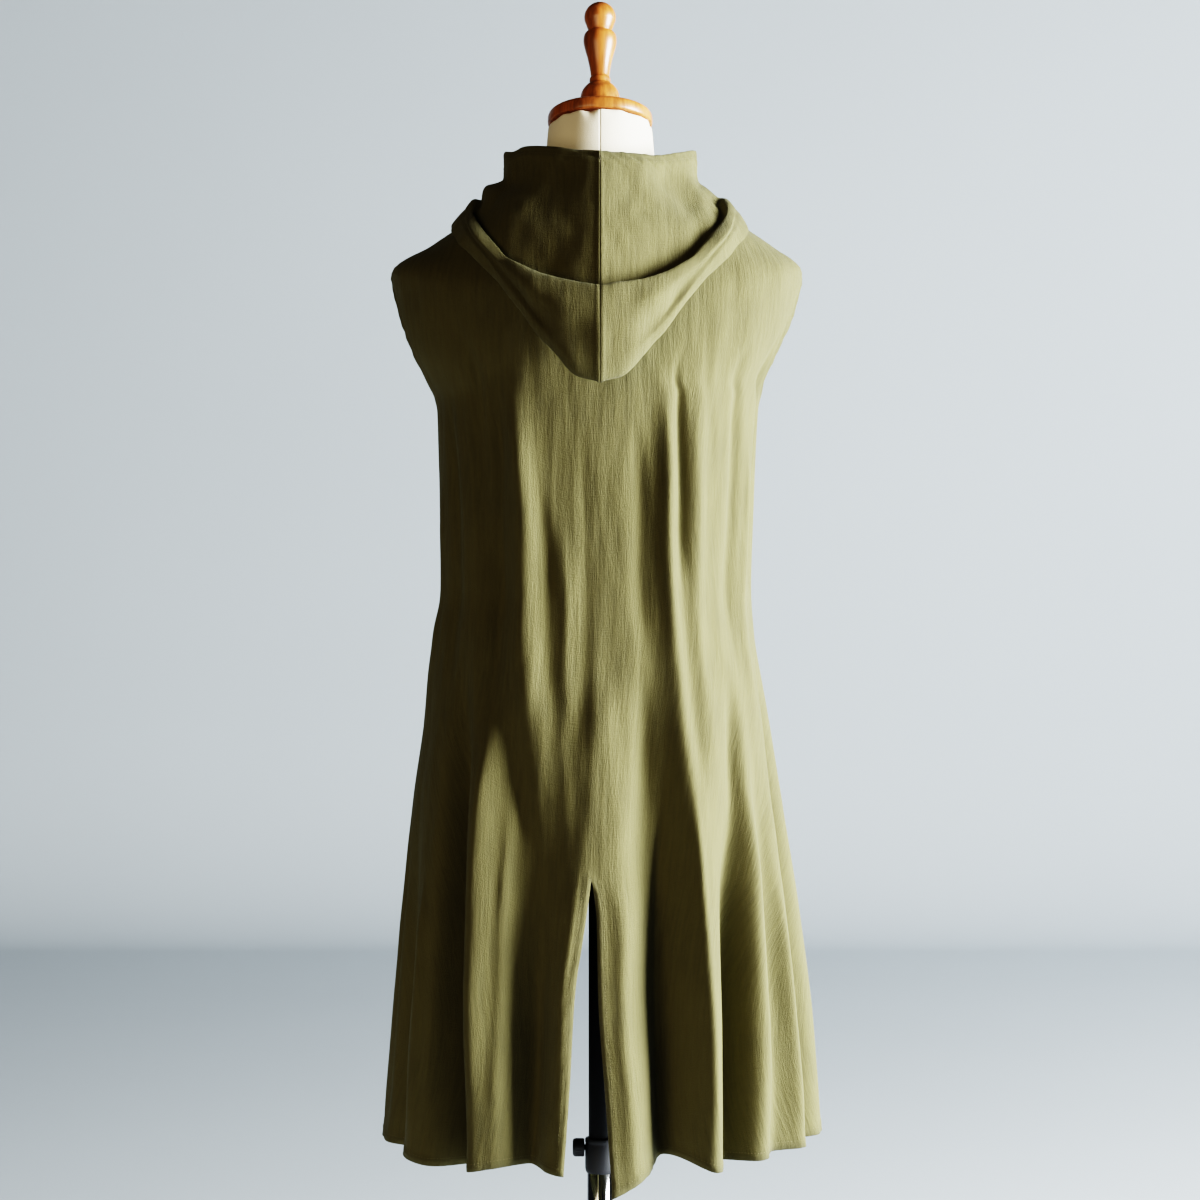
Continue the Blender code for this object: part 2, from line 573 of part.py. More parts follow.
# ---------------------------------------------------------------- the parts
def make_garment(parts):
    """Back, front and the two halves of the hood."""
    back = panel_sheet("back", BACK_COLUMNS, *BACK_ROWS, SLIT_TOP_BACK)
    front = panel_sheet("front", FRONT_COLUMNS, *FRONT_ROWS, SLIT_TOP_FRONT)
    return [
        add_cloth(parts, "back", back, WALL),
        add_cloth(parts, "front", front, WALL),
        add_cloth(parts, "hood_left", hood_sheet(-1), HOOD_WALL),
        add_cloth(parts, "hood_right", hood_sheet(1), HOOD_WALL),
    ]


def make_form(parts):
    """Limbless torso with its neck, as one smooth closed loft."""
    mesh = bmesh.new()
    lines = []
    for row in spread(0, len(FORM_RINGS) - 1, FORM_ROWS):
        size = {
            column: smooth(range(len(FORM_RINGS)), [getattr(r, column) for r in FORM_RINGS], row)
            for column in FormRing._fields[1:]
        }
        line = []
        for i in range(RING_COLUMNS):
            turn = 2 * math.pi * i / RING_COLUMNS
            east, north = math.sin(turn), -math.cos(turn)
            neck = ramp(1.46, 1.52, size["side_z"])
            power = 2 / (PLAN_POWER + (2 - PLAN_POWER) * neck)
            depth = size["back"] if north < 0 else size["front"]
            middle_z = size["back_z"] if north < 0 else size["front_z"]
            line.append(mesh.verts.new((
                math.copysign(size["half"] * abs(east) ** power, east),
                math.copysign(depth * abs(north) ** power, north),
                size["side_z"] + (middle_z - size["side_z"]) * abs(north) ** (1.3 - 0.3 * neck),
            )))
        lines.append(line + line[:1])
    join_lines(mesh, lines, False)
    mesh.faces.new(lines[0][:-1])
    mesh.faces.new(reversed(lines[-1][:-1]))
    return add_object(parts, "dress_form", mesh, "form cover")


def make_neck_cap(parts):
    """Wooden cap on the neck with its turned finial, both square to the sloping neck."""
    slope = Matrix.Rotation(-CAP_TILT, 4, "X")
    foot = Vector((0, 0, CAP_Z))
    cap = add_turned(parts, "neck_cap", CAP_PROFILE, "turned wood")
    finial = add_turned(parts, "finial", FINIAL_PROFILE, "turned wood")
    cap.matrix_world = Matrix.Translation(foot) @ slope
    top = foot + slope @ Vector((0, 0, CAP_THICKNESS + FIT_GAP))
    finial.matrix_world = Matrix.Translation(top) @ slope
    return [cap, finial]


def tube_rings(outer, bore, bottom, top):
    """Closed profile of a plain tube."""
    return (Ring(outer, top), Ring(outer, bottom), Ring(bore, bottom), Ring(bore, top))


def make_stand(parts, cutters):
    """Round base, chrome tube, clamp collar with its knob, black tube and socket."""
    add_turned(parts, "base", BASE_PROFILE, "black tube")
    sleeve_bottom = BASE_HEIGHT + FIT_GAP
    sleeve = tube_rings(SLEEVE_RADIUS, SLEEVE_BORE, sleeve_bottom, COLLAR_TOP - 0.006)
    add_turned(parts, "lower_tube", sleeve, "chrome", closed=True)
    pole = tube_rings(POLE_RADIUS, POLE_RADIUS - 0.0012, POLE_BOTTOM, FORM_BOTTOM - FIT_GAP)
    add_turned(parts, "upper_tube", pole, "black tube", closed=True)
    add_turned(parts, "pole_socket", SOCKET_PROFILE, "black tube", closed=True)

    grip = SLEEVE_RADIUS + FIT_GAP
    collar_rings = (
        Ring(0.0150, COLLAR_TOP), Ring(0.0163, COLLAR_TOP - 0.0010),
        Ring(0.0163, COLLAR_TOP - 0.0045), Ring(0.0158, COLLAR_TOP - 0.0055),
        Ring(0.0163, COLLAR_TOP - 0.0070), Ring(0.0163, COLLAR_BOTTOM + 0.0050),
        Ring(0.0156, COLLAR_BOTTOM + 0.0015), Ring(0.0148, COLLAR_BOTTOM),
        Ring(grip, COLLAR_BOTTOM), Ring(grip, COLLAR_TOP - 0.0057),
        Ring(SLEEVE_BORE, COLLAR_TOP - 0.0057), Ring(SLEEVE_BORE, COLLAR_TOP),
    )
    collar = add_turned(parts, "clamp_collar", collar_rings, "black plastic", closed=True)

    knob_rings = (
        Ring(0.0000, 0.0300), Ring(0.0070, 0.0300), Ring(0.0095, 0.0285),
        Ring(0.0100, 0.0265), Ring(0.0100, 0.0185), Ring(0.0092, 0.0172),
        Ring(0.0045, 0.0170), Ring(0.0030, 0.0168), Ring(0.0030, 0.0148), Ring(0.0000, 0.0148),
    )
    knob = add_turned(parts, "clamp_knob", knob_rings, "black plastic")
    knob.matrix_world = Matrix.Translation((0, 0, KNOB_Z)) @ Matrix.Rotation(-math.pi / 2, 4, "Y")

    hole = bmesh.new()
    across = Matrix.Translation((-0.0165, 0, KNOB_Z)) @ Matrix.Rotation(math.pi / 2, 4, "Y")
    bmesh.ops.create_cone(hole, cap_ends=True, segments=24, radius1=0.0033, radius2=0.0033,
                          depth=0.0040, matrix=across)
    data = bpy.data.meshes.new("knob_hole")
    hole.to_mesh(data)
    hole.free()
    cut(collar, cutters, bpy.data.objects.new("knob_hole", data))


def main():
    """Build the whole object."""
    for old in list(bpy.data.objects):
        bpy.data.objects.remove(old, do_unlink=True)
    parts = bpy.data.collections.new("surcoat_on_dress_form")
    cutters = bpy.data.collections.new("cutters")
    bpy.context.scene.collection.children.link(parts)
    bpy.context.scene.collection.children.link(cutters)
    make_garment(parts)
    make_form(parts)
    make_neck_cap(parts)
    make_stand(parts, cutters)


main()
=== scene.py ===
"""Looks of a hooded sleeveless surcoat hanging on its limbless dress form.

Laid out as an add-on and run as a script: every piece has an operator, the sizes and
colours a user would change are properties, and the CAD frame gives every place.
"""

import math
import random
from collections import namedtuple

import bmesh
import bpy
import numpy as np
from bpy.props import FloatProperty, FloatVectorProperty, IntProperty, PointerProperty
from bpy.types import Operator, Panel, PropertyGroup
from mathutils import Matrix, Vector, noise


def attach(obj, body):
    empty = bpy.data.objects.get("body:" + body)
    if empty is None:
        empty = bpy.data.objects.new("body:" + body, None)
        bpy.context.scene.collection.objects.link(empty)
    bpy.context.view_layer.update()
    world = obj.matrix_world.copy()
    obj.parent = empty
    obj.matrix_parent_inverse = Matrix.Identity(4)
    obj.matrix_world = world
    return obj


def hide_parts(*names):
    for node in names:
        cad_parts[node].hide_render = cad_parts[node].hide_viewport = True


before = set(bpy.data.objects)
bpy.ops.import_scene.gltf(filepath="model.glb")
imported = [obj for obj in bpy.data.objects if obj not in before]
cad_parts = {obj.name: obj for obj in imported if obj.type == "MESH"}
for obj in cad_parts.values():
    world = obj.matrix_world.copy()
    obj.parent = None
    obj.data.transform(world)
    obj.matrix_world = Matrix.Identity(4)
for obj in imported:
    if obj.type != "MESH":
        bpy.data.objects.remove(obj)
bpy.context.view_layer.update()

bl_info = {
    "name": "Surcoat on a dress form",
    "version": (1, 0, 0),
    "blender": (4, 5, 0),
    "location": "3D View > Sidebar > Surcoat",
    "description": "Builds a hooded surcoat, its dress form and the stand",
    "category": "Add Mesh",
}

# ---------------------------------------------------------------- the garment's own sizes
SEAM_GAP = 0.0003
PLAN_POWER = 2.3        # superellipse power of every ring round the body
HEM_Z = 0.443           # mean height of the bottom edge
HIP_Z = 1.020           # below this the skirt flares and its folds open
SLIT_TOP = {"back": 0.748, "front": 0.810}
SLIT_REACH = 0.34       # share of the half panel that a slit edge pulls along
ARMHOLE_ROW, UNDERARM_ROW = 4.0, 8.0            # rows of SECTIONS that end the armhole
ARMHOLE_TOP_Z, ARMHOLE_FOOT_Z = 1.386, 1.246    # heights that its stitching runs between
HEM_PHASES = {"left": 0.7, "right": 2.3}        # where the pucker of each half starts
PUCKER_WAVES = (61.0, 47.0, 83.0)               # pucker waves per metre along X, Y and Z
STITCH_INSET = 0.84                             # stitch line as a share of the hem's width
SEAM_STITCH_INSET = 0.0042
STITCH_PITCH = 1.45                             # start to start, in stitch lengths
STITCH_LOOSE, STITCH_SKEW = 0.08, 0.00012
THREAD_SIDE, THREAD_TOP, THREAD_FOOT = 0.00028, 0.00026, 0.0004
THREAD_END, THREAD_LIFT = 0.0002, 0.00018

Section = namedtuple("Section", "name side_z back_z front_z left right back front armhole")
SECTIONS = (
    Section("neckline", 1.4800, 1.466, 1.440, 0.082, 0.082, 0.079, 0.090, 0.0),
    Section("collar bone", 1.4640, 1.444, 1.415, 0.114, 0.113, 0.098, 0.106, 0.0),
    Section("mid shoulder", 1.4400, 1.415, 1.388, 0.152, 0.156, 0.112, 0.117, 0.0),
    Section("outer shoulder", 1.4180, 1.386, 1.362, 0.186, 0.189, 0.121, 0.124, 0.0),
    Section("shoulder tip", 1.3890, 1.352, 1.336, 0.229, 0.222, 0.127, 0.129, 0.0),
    Section("upper armhole", 1.3440, 1.318, 1.308, 0.219, 0.211, 0.131, 0.132, 0.026),
    Section("armhole", 1.3000, 1.285, 1.280, 0.203, 0.192, 0.133, 0.133, 0.036),
    Section("lower armhole", 1.2680, 1.262, 1.260, 0.188, 0.178, 0.134, 0.134, 0.024),
    Section("underarm", 1.2440, 1.244, 1.244, 0.179, 0.174, 0.135, 0.134, 0.0),
    Section("chest", 1.1370, 1.137, 1.137, 0.176, 0.169, 0.137, 0.132, 0.0),
    Section("waist", 1.0430, 1.043, 1.043, 0.175, 0.166, 0.139, 0.130, 0.0),
    Section("hip", 0.9950, 0.995, 0.995, 0.182, 0.169, 0.144, 0.132, 0.0),
    Section("upper skirt", 0.9120, 0.912, 0.912, 0.191, 0.183, 0.154, 0.139, 0.0),
    Section("skirt", 0.8100, 0.810, 0.810, 0.205, 0.199, 0.168, 0.150, 0.0),
    Section("lower skirt", 0.6900, 0.690, 0.690, 0.217, 0.218, 0.183, 0.162, 0.0),
    Section("calf", 0.5700, 0.570, 0.570, 0.228, 0.233, 0.194, 0.173, 0.0),
    Section("hem", 0.4430, 0.443, 0.443, 0.237, 0.242, 0.203, 0.183, 0.0),
)

# The large folds, as the CAD solids have them.
Fold = namedtuple("Fold", "name top hem width depth top_z full_z")
FOLDS = {
    "back": (
        Fold("left deep pleat", -0.560, -0.440, 0.055, 0.060, 1.030, 0.600),
        Fold("left side valley", -0.800, -0.760, 0.060, 0.020, 0.900, 0.520),
        Fold("left pleat ridge", -0.450, -0.350, 0.050, -0.007, 0.980, 0.700),
        Fold("left tail valley", -0.130, -0.150, 0.075, 0.034, 0.930, 0.480),
        Fold("right tail valley", 0.200, 0.165, 0.062, 0.056, 0.990, 0.500),
        Fold("right ridge", 0.330, 0.290, 0.050, -0.010, 0.950, 0.560),
        Fold("right deep pleat", 0.460, 0.395, 0.060, 0.046, 0.900, 0.520),
        Fold("right side valley", 0.680, 0.590, 0.075, 0.028, 0.980, 0.560),
        Fold("right edge pleat", 0.880, 0.790, 0.050, 0.028, 1.000, 0.780),
    ),
    "front": (
        Fold("left side valley", -0.760, -0.700, 0.080, 0.030, 0.960, 0.520),
        Fold("left inner valley", -0.340, -0.320, 0.090, 0.045, 0.930, 0.500),
        Fold("right inner valley", 0.300, 0.290, 0.085, 0.042, 0.940, 0.500),
        Fold("right side valley", 0.720, 0.680, 0.080, 0.032, 0.960, 0.520),
    ),
}

# The smaller creases that only the cloth itself has: place and height at both ends, half
# width as a share of the half panel, depth inward (negative stands out).
Crease = namedtuple("Crease", "name top low top_z low_z width depth")
CREASES = {
    "back": (
        Crease("left shoulder drag", -0.520, -0.430, 1.340, 1.020, 0.050, 0.0060),
        Crease("left blade trough", -0.395, -0.380, 1.300, 0.900, 0.045, 0.0080),
        Crease("left blade ridge", -0.300, -0.215, 1.290, 0.850, 0.058, -0.0100),
        Crease("left back trough", -0.205, -0.130, 1.170, 0.900, 0.030, 0.0035),
        Crease("left centre ridge", -0.110, -0.075, 1.120, 0.800, 0.022, -0.0022),
        Crease("left hip trough", -0.275, -0.185, 0.965, 0.500, 0.072, 0.0125),
        Crease("left hip ridge", -0.380, -0.345, 0.950, 0.520, 0.050, -0.0085),
        Crease("left centre trough", -0.045, -0.030, 1.220, 0.900, 0.020, 0.0020),
        Crease("centre hip ridge", 0.015, 0.020, 0.960, 0.740, 0.045, -0.0060),
        Crease("right centre trough", 0.120, 0.150, 1.220, 0.980, 0.030, 0.0045),
        Crease("right hip trough", 0.145, 0.110, 0.980, 0.560, 0.042, 0.0110),
        Crease("right blade ridge", 0.220, 0.280, 1.290, 0.780, 0.040, -0.0115),
        Crease("right inner trough", 0.285, 0.310, 1.300, 1.060, 0.022, 0.0055),
        Crease("right broad ridge", 0.380, 0.375, 1.300, 0.820, 0.050, -0.0070),
        Crease("right hip groove", 0.545, 0.430, 0.960, 0.560, 0.050, 0.0150),
        Crease("right outer trough", 0.640, 0.600, 1.310, 0.980, 0.045, 0.0080),
        Crease("right side ridge", 0.760, 0.700, 1.230, 0.900, 0.035, -0.0045),
        Crease("right armhole roll", 0.900, 0.870, 1.330, 1.050, 0.045, 0.0070),
        Crease("right skirt ridge", 0.570, 0.560, 0.860, 0.455, 0.050, -0.0090),
        Crease("left side trough", -0.700, -0.640, 1.260, 0.930, 0.045, 0.0065),
        Crease("left side ridge", -0.820, -0.880, 1.180, 0.900, 0.040, -0.0035),
        Crease("left tail crease", -0.280, -0.265, 0.840, 0.452, 0.022, -0.0050),
        Crease("left slit roll", -0.035, -0.040, 0.760, 0.500, 0.018, -0.0035),
        Crease("right slit roll", 0.060, 0.050, 0.740, 0.450, 0.020, -0.0040),
        Crease("right tail groove", 0.195, 0.165, 0.820, 0.470, 0.018, 0.0055),
        Crease("right fold line", 0.290, 0.285, 0.860, 0.450, 0.020, -0.0060),
        Crease("right outer ridge", 0.720, 0.690, 0.740, 0.455, 0.024, -0.0050),
        Crease("left skirt ridge", -0.650, -0.620, 0.760, 0.450, 0.026, -0.0060),
        Crease("left skirt groove", -0.540, -0.525, 0.760, 0.460, 0.020, 0.0060),
        Crease("left edge groove", -0.900, -0.880, 0.820, 0.480, 0.022, 0.0045),
    ),
    "front": (
        Crease("left chest drag", -0.560, -0.430, 1.330, 1.000, 0.045, 0.0045),
        Crease("left chest trough", -0.330, -0.300, 1.280, 0.880, 0.040, 0.0055),
        Crease("left chest ridge", -0.200, -0.180, 1.220, 0.860, 0.032, -0.0040),
        Crease("centre trough", 0.020, 0.010, 1.250, 0.830, 0.030, 0.0035),
        Crease("right chest ridge", 0.180, 0.200, 1.230, 0.880, 0.030, -0.0042),
        Crease("right chest trough", 0.320, 0.290, 1.270, 0.880, 0.038, 0.0055),
        Crease("right chest drag", 0.560, 0.450, 1.330, 0.980, 0.045, 0.0045),
        Crease("left tail ridge", -0.500, -0.480, 0.800, 0.450, 0.030, -0.0060),
        Crease("left tail groove", -0.180, -0.170, 0.740, 0.450, 0.024, 0.0050),
        Crease("right tail groove", 0.160, 0.150, 0.760, 0.450, 0.024, 0.0050),
        Crease("right tail ridge", 0.500, 0.480, 0.780, 0.450, 0.030, -0.0060),
        Crease("left side trough", -0.780, -0.740, 1.220, 0.900, 0.040, 0.0045),
        Crease("right side trough", 0.780, 0.740, 1.220, 0.900, 0.040, 0.0045),
    ),
}

HemPoint = namedtuple("HemPoint", "place height")
HEMS = {
    ("back", "left"): (
        HemPoint(-1.00, 0.450), HemPoint(-0.72, 0.444), HemPoint(-0.44, 0.436),
        HemPoint(-0.20, 0.446), HemPoint(0.00, 0.439),
    ),
    ("back", "right"): (
        HemPoint(0.00, 0.416), HemPoint(0.10, 0.438), HemPoint(0.20, 0.452),
        HemPoint(0.29, 0.441), HemPoint(0.55, 0.446), HemPoint(1.00, 0.456),
    ),
    ("front", "left"): (
        HemPoint(-1.00, 0.450), HemPoint(-0.40, 0.446), HemPoint(0.00, 0.442),
    ),
    ("front", "right"): (
        HemPoint(0.00, 0.440), HemPoint(0.45, 0.446), HemPoint(1.00, 0.456),
    ),
}

SlitPoint = namedtuple("SlitPoint", "height left right")
SLITS = {
    "back": (
        SlitPoint(1.000, 0.0000, 0.0000), SlitPoint(0.748, -0.0085, -0.0085),
        SlitPoint(0.700, -0.0145, -0.0035), SlitPoint(0.620, -0.0260, -0.0020),
        SlitPoint(0.530, -0.0310, 0.0045), SlitPoint(0.430, -0.0380, 0.0120),
    ),
    "front": (
        SlitPoint(1.000, 0.0000, 0.0000), SlitPoint(0.810, 0.0000, 0.0000),
        SlitPoint(0.740, -0.0220, 0.0160), SlitPoint(0.640, -0.0380, 0.0300),
        SlitPoint(0.430, -0.0480, 0.0420),
    ),
}

# The hood's profile at an angle round the neck: 0 behind, 180 in front.
Turn = namedtuple("Turn", "angle out height")
HOOD_LINES = {
    "face edge": (
        Turn(0, 0.094, 1.5070), Turn(32, 0.101, 1.5066), Turn(55, 0.106, 1.5140),
        Turn(74, 0.109, 1.5200), Turn(90, 0.105, 1.5080), Turn(130, 0.104, 1.4840),
        Turn(180, 0.099, 1.4640),
    ),
    "collar": (
        Turn(0, 0.110, 1.4660), Turn(35, 0.113, 1.4720), Turn(60, 0.111, 1.4850),
        Turn(74, 0.108, 1.4910), Turn(90, 0.107, 1.4910), Turn(130, 0.110, 1.4740),
        Turn(180, 0.107, 1.4560),
    ),
    "upper hang": (
        Turn(0, 0.130, 1.4050), Turn(35, 0.132, 1.4260), Turn(60, 0.128, 1.4610),
        Turn(74, 0.120, 1.4760), Turn(90, 0.115, 1.4820), Turn(130, 0.119, 1.4640),
        Turn(180, 0.114, 1.4450),
    ),
    "valley": (
        Turn(0, 0.148, 1.3500), Turn(18, 0.149, 1.3600), Turn(35, 0.149, 1.3820),
        Turn(50, 0.146, 1.4150), Turn(60, 0.139, 1.4380), Turn(72, 0.133, 1.4600),
        Turn(90, 0.126, 1.4730), Turn(130, 0.126, 1.4530), Turn(180, 0.121, 1.4350),
    ),
    "lip": (
        Turn(0, 0.165, 1.3560), Turn(18, 0.168, 1.3680), Turn(33, 0.169, 1.3880),
        Turn(47, 0.164, 1.4190), Turn(60, 0.156, 1.4440), Turn(75, 0.142, 1.4640),
        Turn(90, 0.134, 1.4690), Turn(130, 0.135, 1.4540), Turn(180, 0.129, 1.4350),
    ),
    "belly": (
        Turn(0, 0.176, 1.3280), Turn(18, 0.178, 1.3460), Turn(33, 0.176, 1.3770),
        Turn(47, 0.171, 1.4130), Turn(60, 0.164, 1.4390), Turn(75, 0.150, 1.4580),
        Turn(90, 0.142, 1.4640), Turn(130, 0.139, 1.4480), Turn(180, 0.133, 1.4290),
    ),
    "crease": (
        Turn(0, 0.178, 1.2960), Turn(8, 0.177, 1.3020), Turn(18, 0.174, 1.3180),
        Turn(33, 0.169, 1.3660), Turn(47, 0.166, 1.4075), Turn(60, 0.160, 1.4345),
        Turn(75, 0.152, 1.4540), Turn(90, 0.146, 1.4610), Turn(130, 0.138, 1.4420),
        Turn(180, 0.132, 1.4230),
    ),
    "band": (
        Turn(0, 0.175, 1.2700), Turn(8, 0.175, 1.2760), Turn(18, 0.176, 1.3045),
        Turn(33, 0.176, 1.3560), Turn(47, 0.173, 1.4010), Turn(60, 0.168, 1.4280),
        Turn(75, 0.159, 1.4470), Turn(90, 0.150, 1.4560), Turn(130, 0.141, 1.4360),
        Turn(180, 0.134, 1.4160),
    ),
    "low edge": (
        Turn(0, 0.163, 1.2570), Turn(8, 0.164, 1.2640), Turn(18, 0.167, 1.2930),
        Turn(33, 0.170, 1.3450), Turn(47, 0.170, 1.3860), Turn(60, 0.167, 1.4130),
        Turn(75, 0.159, 1.4350), Turn(90, 0.150, 1.4460), Turn(130, 0.139, 1.4300),
        Turn(180, 0.132, 1.4080),
    ),
    "underside": (
        Turn(0, 0.145, 1.3000), Turn(18, 0.148, 1.3200), Turn(33, 0.154, 1.3610),
        Turn(47, 0.157, 1.3930), Turn(60, 0.152, 1.4190), Turn(75, 0.145, 1.4390),
        Turn(90, 0.139, 1.4490), Turn(130, 0.130, 1.4360), Turn(180, 0.124, 1.4150),
    ),
    "neck hang": (
        Turn(0, 0.118, 1.3850), Turn(35, 0.125, 1.4050), Turn(60, 0.124, 1.4330),
        Turn(90, 0.120, 1.4570), Turn(130, 0.110, 1.4450), Turn(180, 0.108, 1.4220),
    ),
}
# The left half stands higher behind the ear and further out than the right one.
HOOD_LEFT_LINES = {
    "face edge": (
        Turn(0, 0.094, 1.5070), Turn(20, 0.098, 1.5110), Turn(35, 0.102, 1.5165),
        Turn(50, 0.105, 1.5190), Turn(64, 0.107, 1.5165), Turn(74, 0.109, 1.5190),
        Turn(90, 0.105, 1.5080), Turn(130, 0.104, 1.4840), Turn(180, 0.099, 1.4640),
    ),
    "upper hang": (
        Turn(0, 0.130, 1.4050), Turn(35, 0.132, 1.4260), Turn(60, 0.128, 1.4620),
        Turn(74, 0.127, 1.4790), Turn(90, 0.123, 1.4840), Turn(112, 0.119, 1.4730),
        Turn(130, 0.119, 1.4640), Turn(180, 0.114, 1.4450),
    ),
}
# The least distance, outward and level, from the garment's plain surface to each line,
# behind the neck and beside it, where the hood lies on the shoulders.
Clearance = namedtuple("Clearance", "behind beside")
HOOD_CLEARANCE = {
    "face edge": Clearance(0.0, 0.0), "collar": Clearance(0.0, 0.0),
    "upper hang": Clearance(0.021, 0.014), "valley": Clearance(0.017, 0.012),
    "lip": Clearance(0.026, 0.017), "belly": Clearance(0.034, 0.021),
    "crease": Clearance(0.030, 0.019), "band": Clearance(0.028, 0.017),
    "low edge": Clearance(0.017, 0.011), "underside": Clearance(0.010, 0.006),
    "neck hang": Clearance(0.010, 0.008),
}
Lying = namedtuple("Lying", "angle row lift")
HOOD_ROOT = (
    Lying(0, 1.30, 0.0060), Lying(45, 1.00, 0.0060), Lying(90, 0.60, 0.0050),
    Lying(135, 0.65, 0.0050), Lying(180, 0.70, 0.0050),
)
# Stretches between the lines take so many rows each.
HOOD_STEPS = (14, 14, 12, 6, 8, 10, 8, 6, 6, 6, 6, 6)

HOOD_TENT = 0.021           # the seam stands out along a ridge down the back of the hood
HOOD_TENT_TURN = 44.0       # degrees either side of the seam that the ridge takes

# Soft pulls across the hood: the angle where each crosses the face edge and the low edge,
# the stretch of lines it runs over, its half width in degrees and its depth.
Pull = namedtuple("Pull", "name top low start end width depth")
HOOD_PULLS = {
    1: (
        Pull("collar dent", 24, 30, 0.0, 1.9, 7, 0.0022),
        Pull("collar swell", 44, 40, 0.0, 2.2, 8, -0.0020),
        Pull("corner dent", 62, 50, 0.0, 2.6, 6, 0.0030),
        Pull("hang ridge", 52, 30, 0.8, 3.2, 6, -0.0026),
        Pull("belly pull", 10, 26, 4.2, 7.0, 5, 0.0024),
        Pull("tip facet", 22, 8, 4.6, 8.2, 5, 0.0030),
        Pull("side ruck", 84, 70, 1.0, 5.0, 6, 0.0026),
        Pull("front ruck", 118, 112, 0.4, 6.0, 8, 0.0030),
        Pull("front swell", 150, 156, 0.6, 6.5, 9, -0.0022),
    ),
    -1: (
        Pull("collar swell", 18, 22, 0.0, 2.0, 8, -0.0018),
        Pull("collar dent", 36, 42, 0.0, 2.2, 6, 0.0026),
        Pull("corner dent", 66, 58, 0.0, 2.4, 7, 0.0030),
        Pull("hang trough", 50, 26, 0.8, 3.2, 7, 0.0030),
        Pull("belly pull", 14, 30, 4.0, 7.2, 5, 0.0026),
        Pull("tip facet", 24, 9, 4.6, 8.2, 5, 0.0032),
        Pull("side ruck", 80, 66, 1.0, 5.2, 6, 0.0030),
        Pull("front ruck", 124, 116, 0.4, 6.0, 8, 0.0028),
        Pull("front swell", 156, 150, 0.6, 6.5, 9, -0.0024),
    ),
}


# ---------------------------------------------------------------- properties
class GarmentSizes(PropertyGroup):
    """Sizes of the cloth that a user would change."""

    wall: FloatProperty(
        name="Cloth wall", description="Thickness of the single layer", default=0.0014,
        min=0.0005, max=0.002, unit="LENGTH")
    hem: FloatProperty(
        name="Hem width", description="Width of the turned hems", default=0.0095,
        min=0.004, max=0.02, unit="LENGTH")
    hem_rise: FloatProperty(
        name="Hem rise", description="How far a turned hem stands above the cloth",
        default=0.0007, min=0.0, max=0.002, unit="LENGTH")
    pucker: FloatProperty(
        name="Pucker", description="Depth of the puckers along a hem", default=0.0007,
        min=0.0, max=0.003, unit="LENGTH")
    crinkle: FloatProperty(
        name="Crinkle", description="Depth of the soft unevenness of the gauze",
        default=0.0016, min=0.0, max=0.005, unit="LENGTH")
    stitch: FloatProperty(
        name="Stitch length", description="Length of one stitch", default=0.0024,
        min=0.001, max=0.005, unit="LENGTH")
    columns: IntProperty(
        name="Columns", description="Columns in each half of the back", default=112,
        min=20, max=200)
    rows: IntProperty(
        name="Rows", description="Rows down the back", default=180, min=40, max=300)


class Finishes(PropertyGroup):
    """Colours that a user would change."""

    cloth: FloatVectorProperty(
        name="Cloth", description="Olive of the gauze", default=(0.098, 0.086, 0.033),
        size=3, min=0, max=1, subtype="COLOR")
    thread: FloatVectorProperty(
        name="Thread", description="Sewing thread", default=(0.115, 0.100, 0.036),
        size=3, min=0, max=1, subtype="COLOR")
    cover: FloatVectorProperty(
        name="Form cover", description="Cream jersey of the dress form",
        default=(0.88, 0.78, 0.60), size=3, min=0, max=1, subtype="COLOR")
    wood: FloatVectorProperty(
        name="Wood", description="Lacquered turned wood", default=(0.44, 0.145, 0.036),
        size=3, min=0, max=1, subtype="COLOR")
    tube: FloatVectorProperty(
        name="Black tube", description="Painted steel", default=(0.012, 0.012, 0.014),
        size=3, min=0, max=1, subtype="COLOR")
    wall: FloatVectorProperty(
        name="Studio wall", description="Pale wall and floor", default=(0.50, 0.535, 0.56),
        size=3, min=0, max=1, subtype="COLOR")


class StandSizes(PropertyGroup):
    """Sizes of the stand's finer shapes; its main sizes come from the frame."""

    segments: IntProperty(
        name="Segments", description="Sides of each turned piece", default=72, min=24, max=160)
    knob_ribs: IntProperty(
        name="Knob ribs", description="Ribs round the clamp knob", default=18, min=6, max=40)


# ---------------------------------------------------------------- numbers
def curve(keys, values, at):
    """Monotone cubic curve through (keys, values), read at an array of places."""
    keys, values = np.asarray(keys, float), np.asarray(values, float)
    at = np.clip(np.asarray(at, float), keys[0], keys[-1])
    rise = np.diff(values) / np.diff(keys)
    total = rise[:-1] + rise[1:]
    product = rise[:-1] * rise[1:]
    inner = np.where(product > 0, 2 * product / np.where(total == 0, 1, total), 0)
    tangent = np.concatenate(([rise[0]], inner, [rise[-1]]))
    i = np.clip(np.searchsorted(keys, at, side="right") - 1, 0, len(keys) - 2)
    step = keys[i + 1] - keys[i]
    t = (at - keys[i]) / step
    lift = (1 + 2 * t) * (1 - t) ** 2 * values[i] + t * t * (3 - 2 * t) * values[i + 1]
    return lift + step * (t * (1 - t) ** 2 * tangent[i] - t * t * (1 - t) * tangent[i + 1])


def read(rows, key, column, at):
    """One named column of a table, read smoothly between its rows."""
    order = sorted(rows, key=lambda row: getattr(row, key))
    return curve([getattr(r, key) for r in order], [getattr(r, column) for r in order], at)


def ramp(start, end, value):
    """0 at start, 1 at end, with soft ends."""
    t = np.clip((value - start) / (end - start), 0, 1)
    return t * t * (3 - 2 * t)


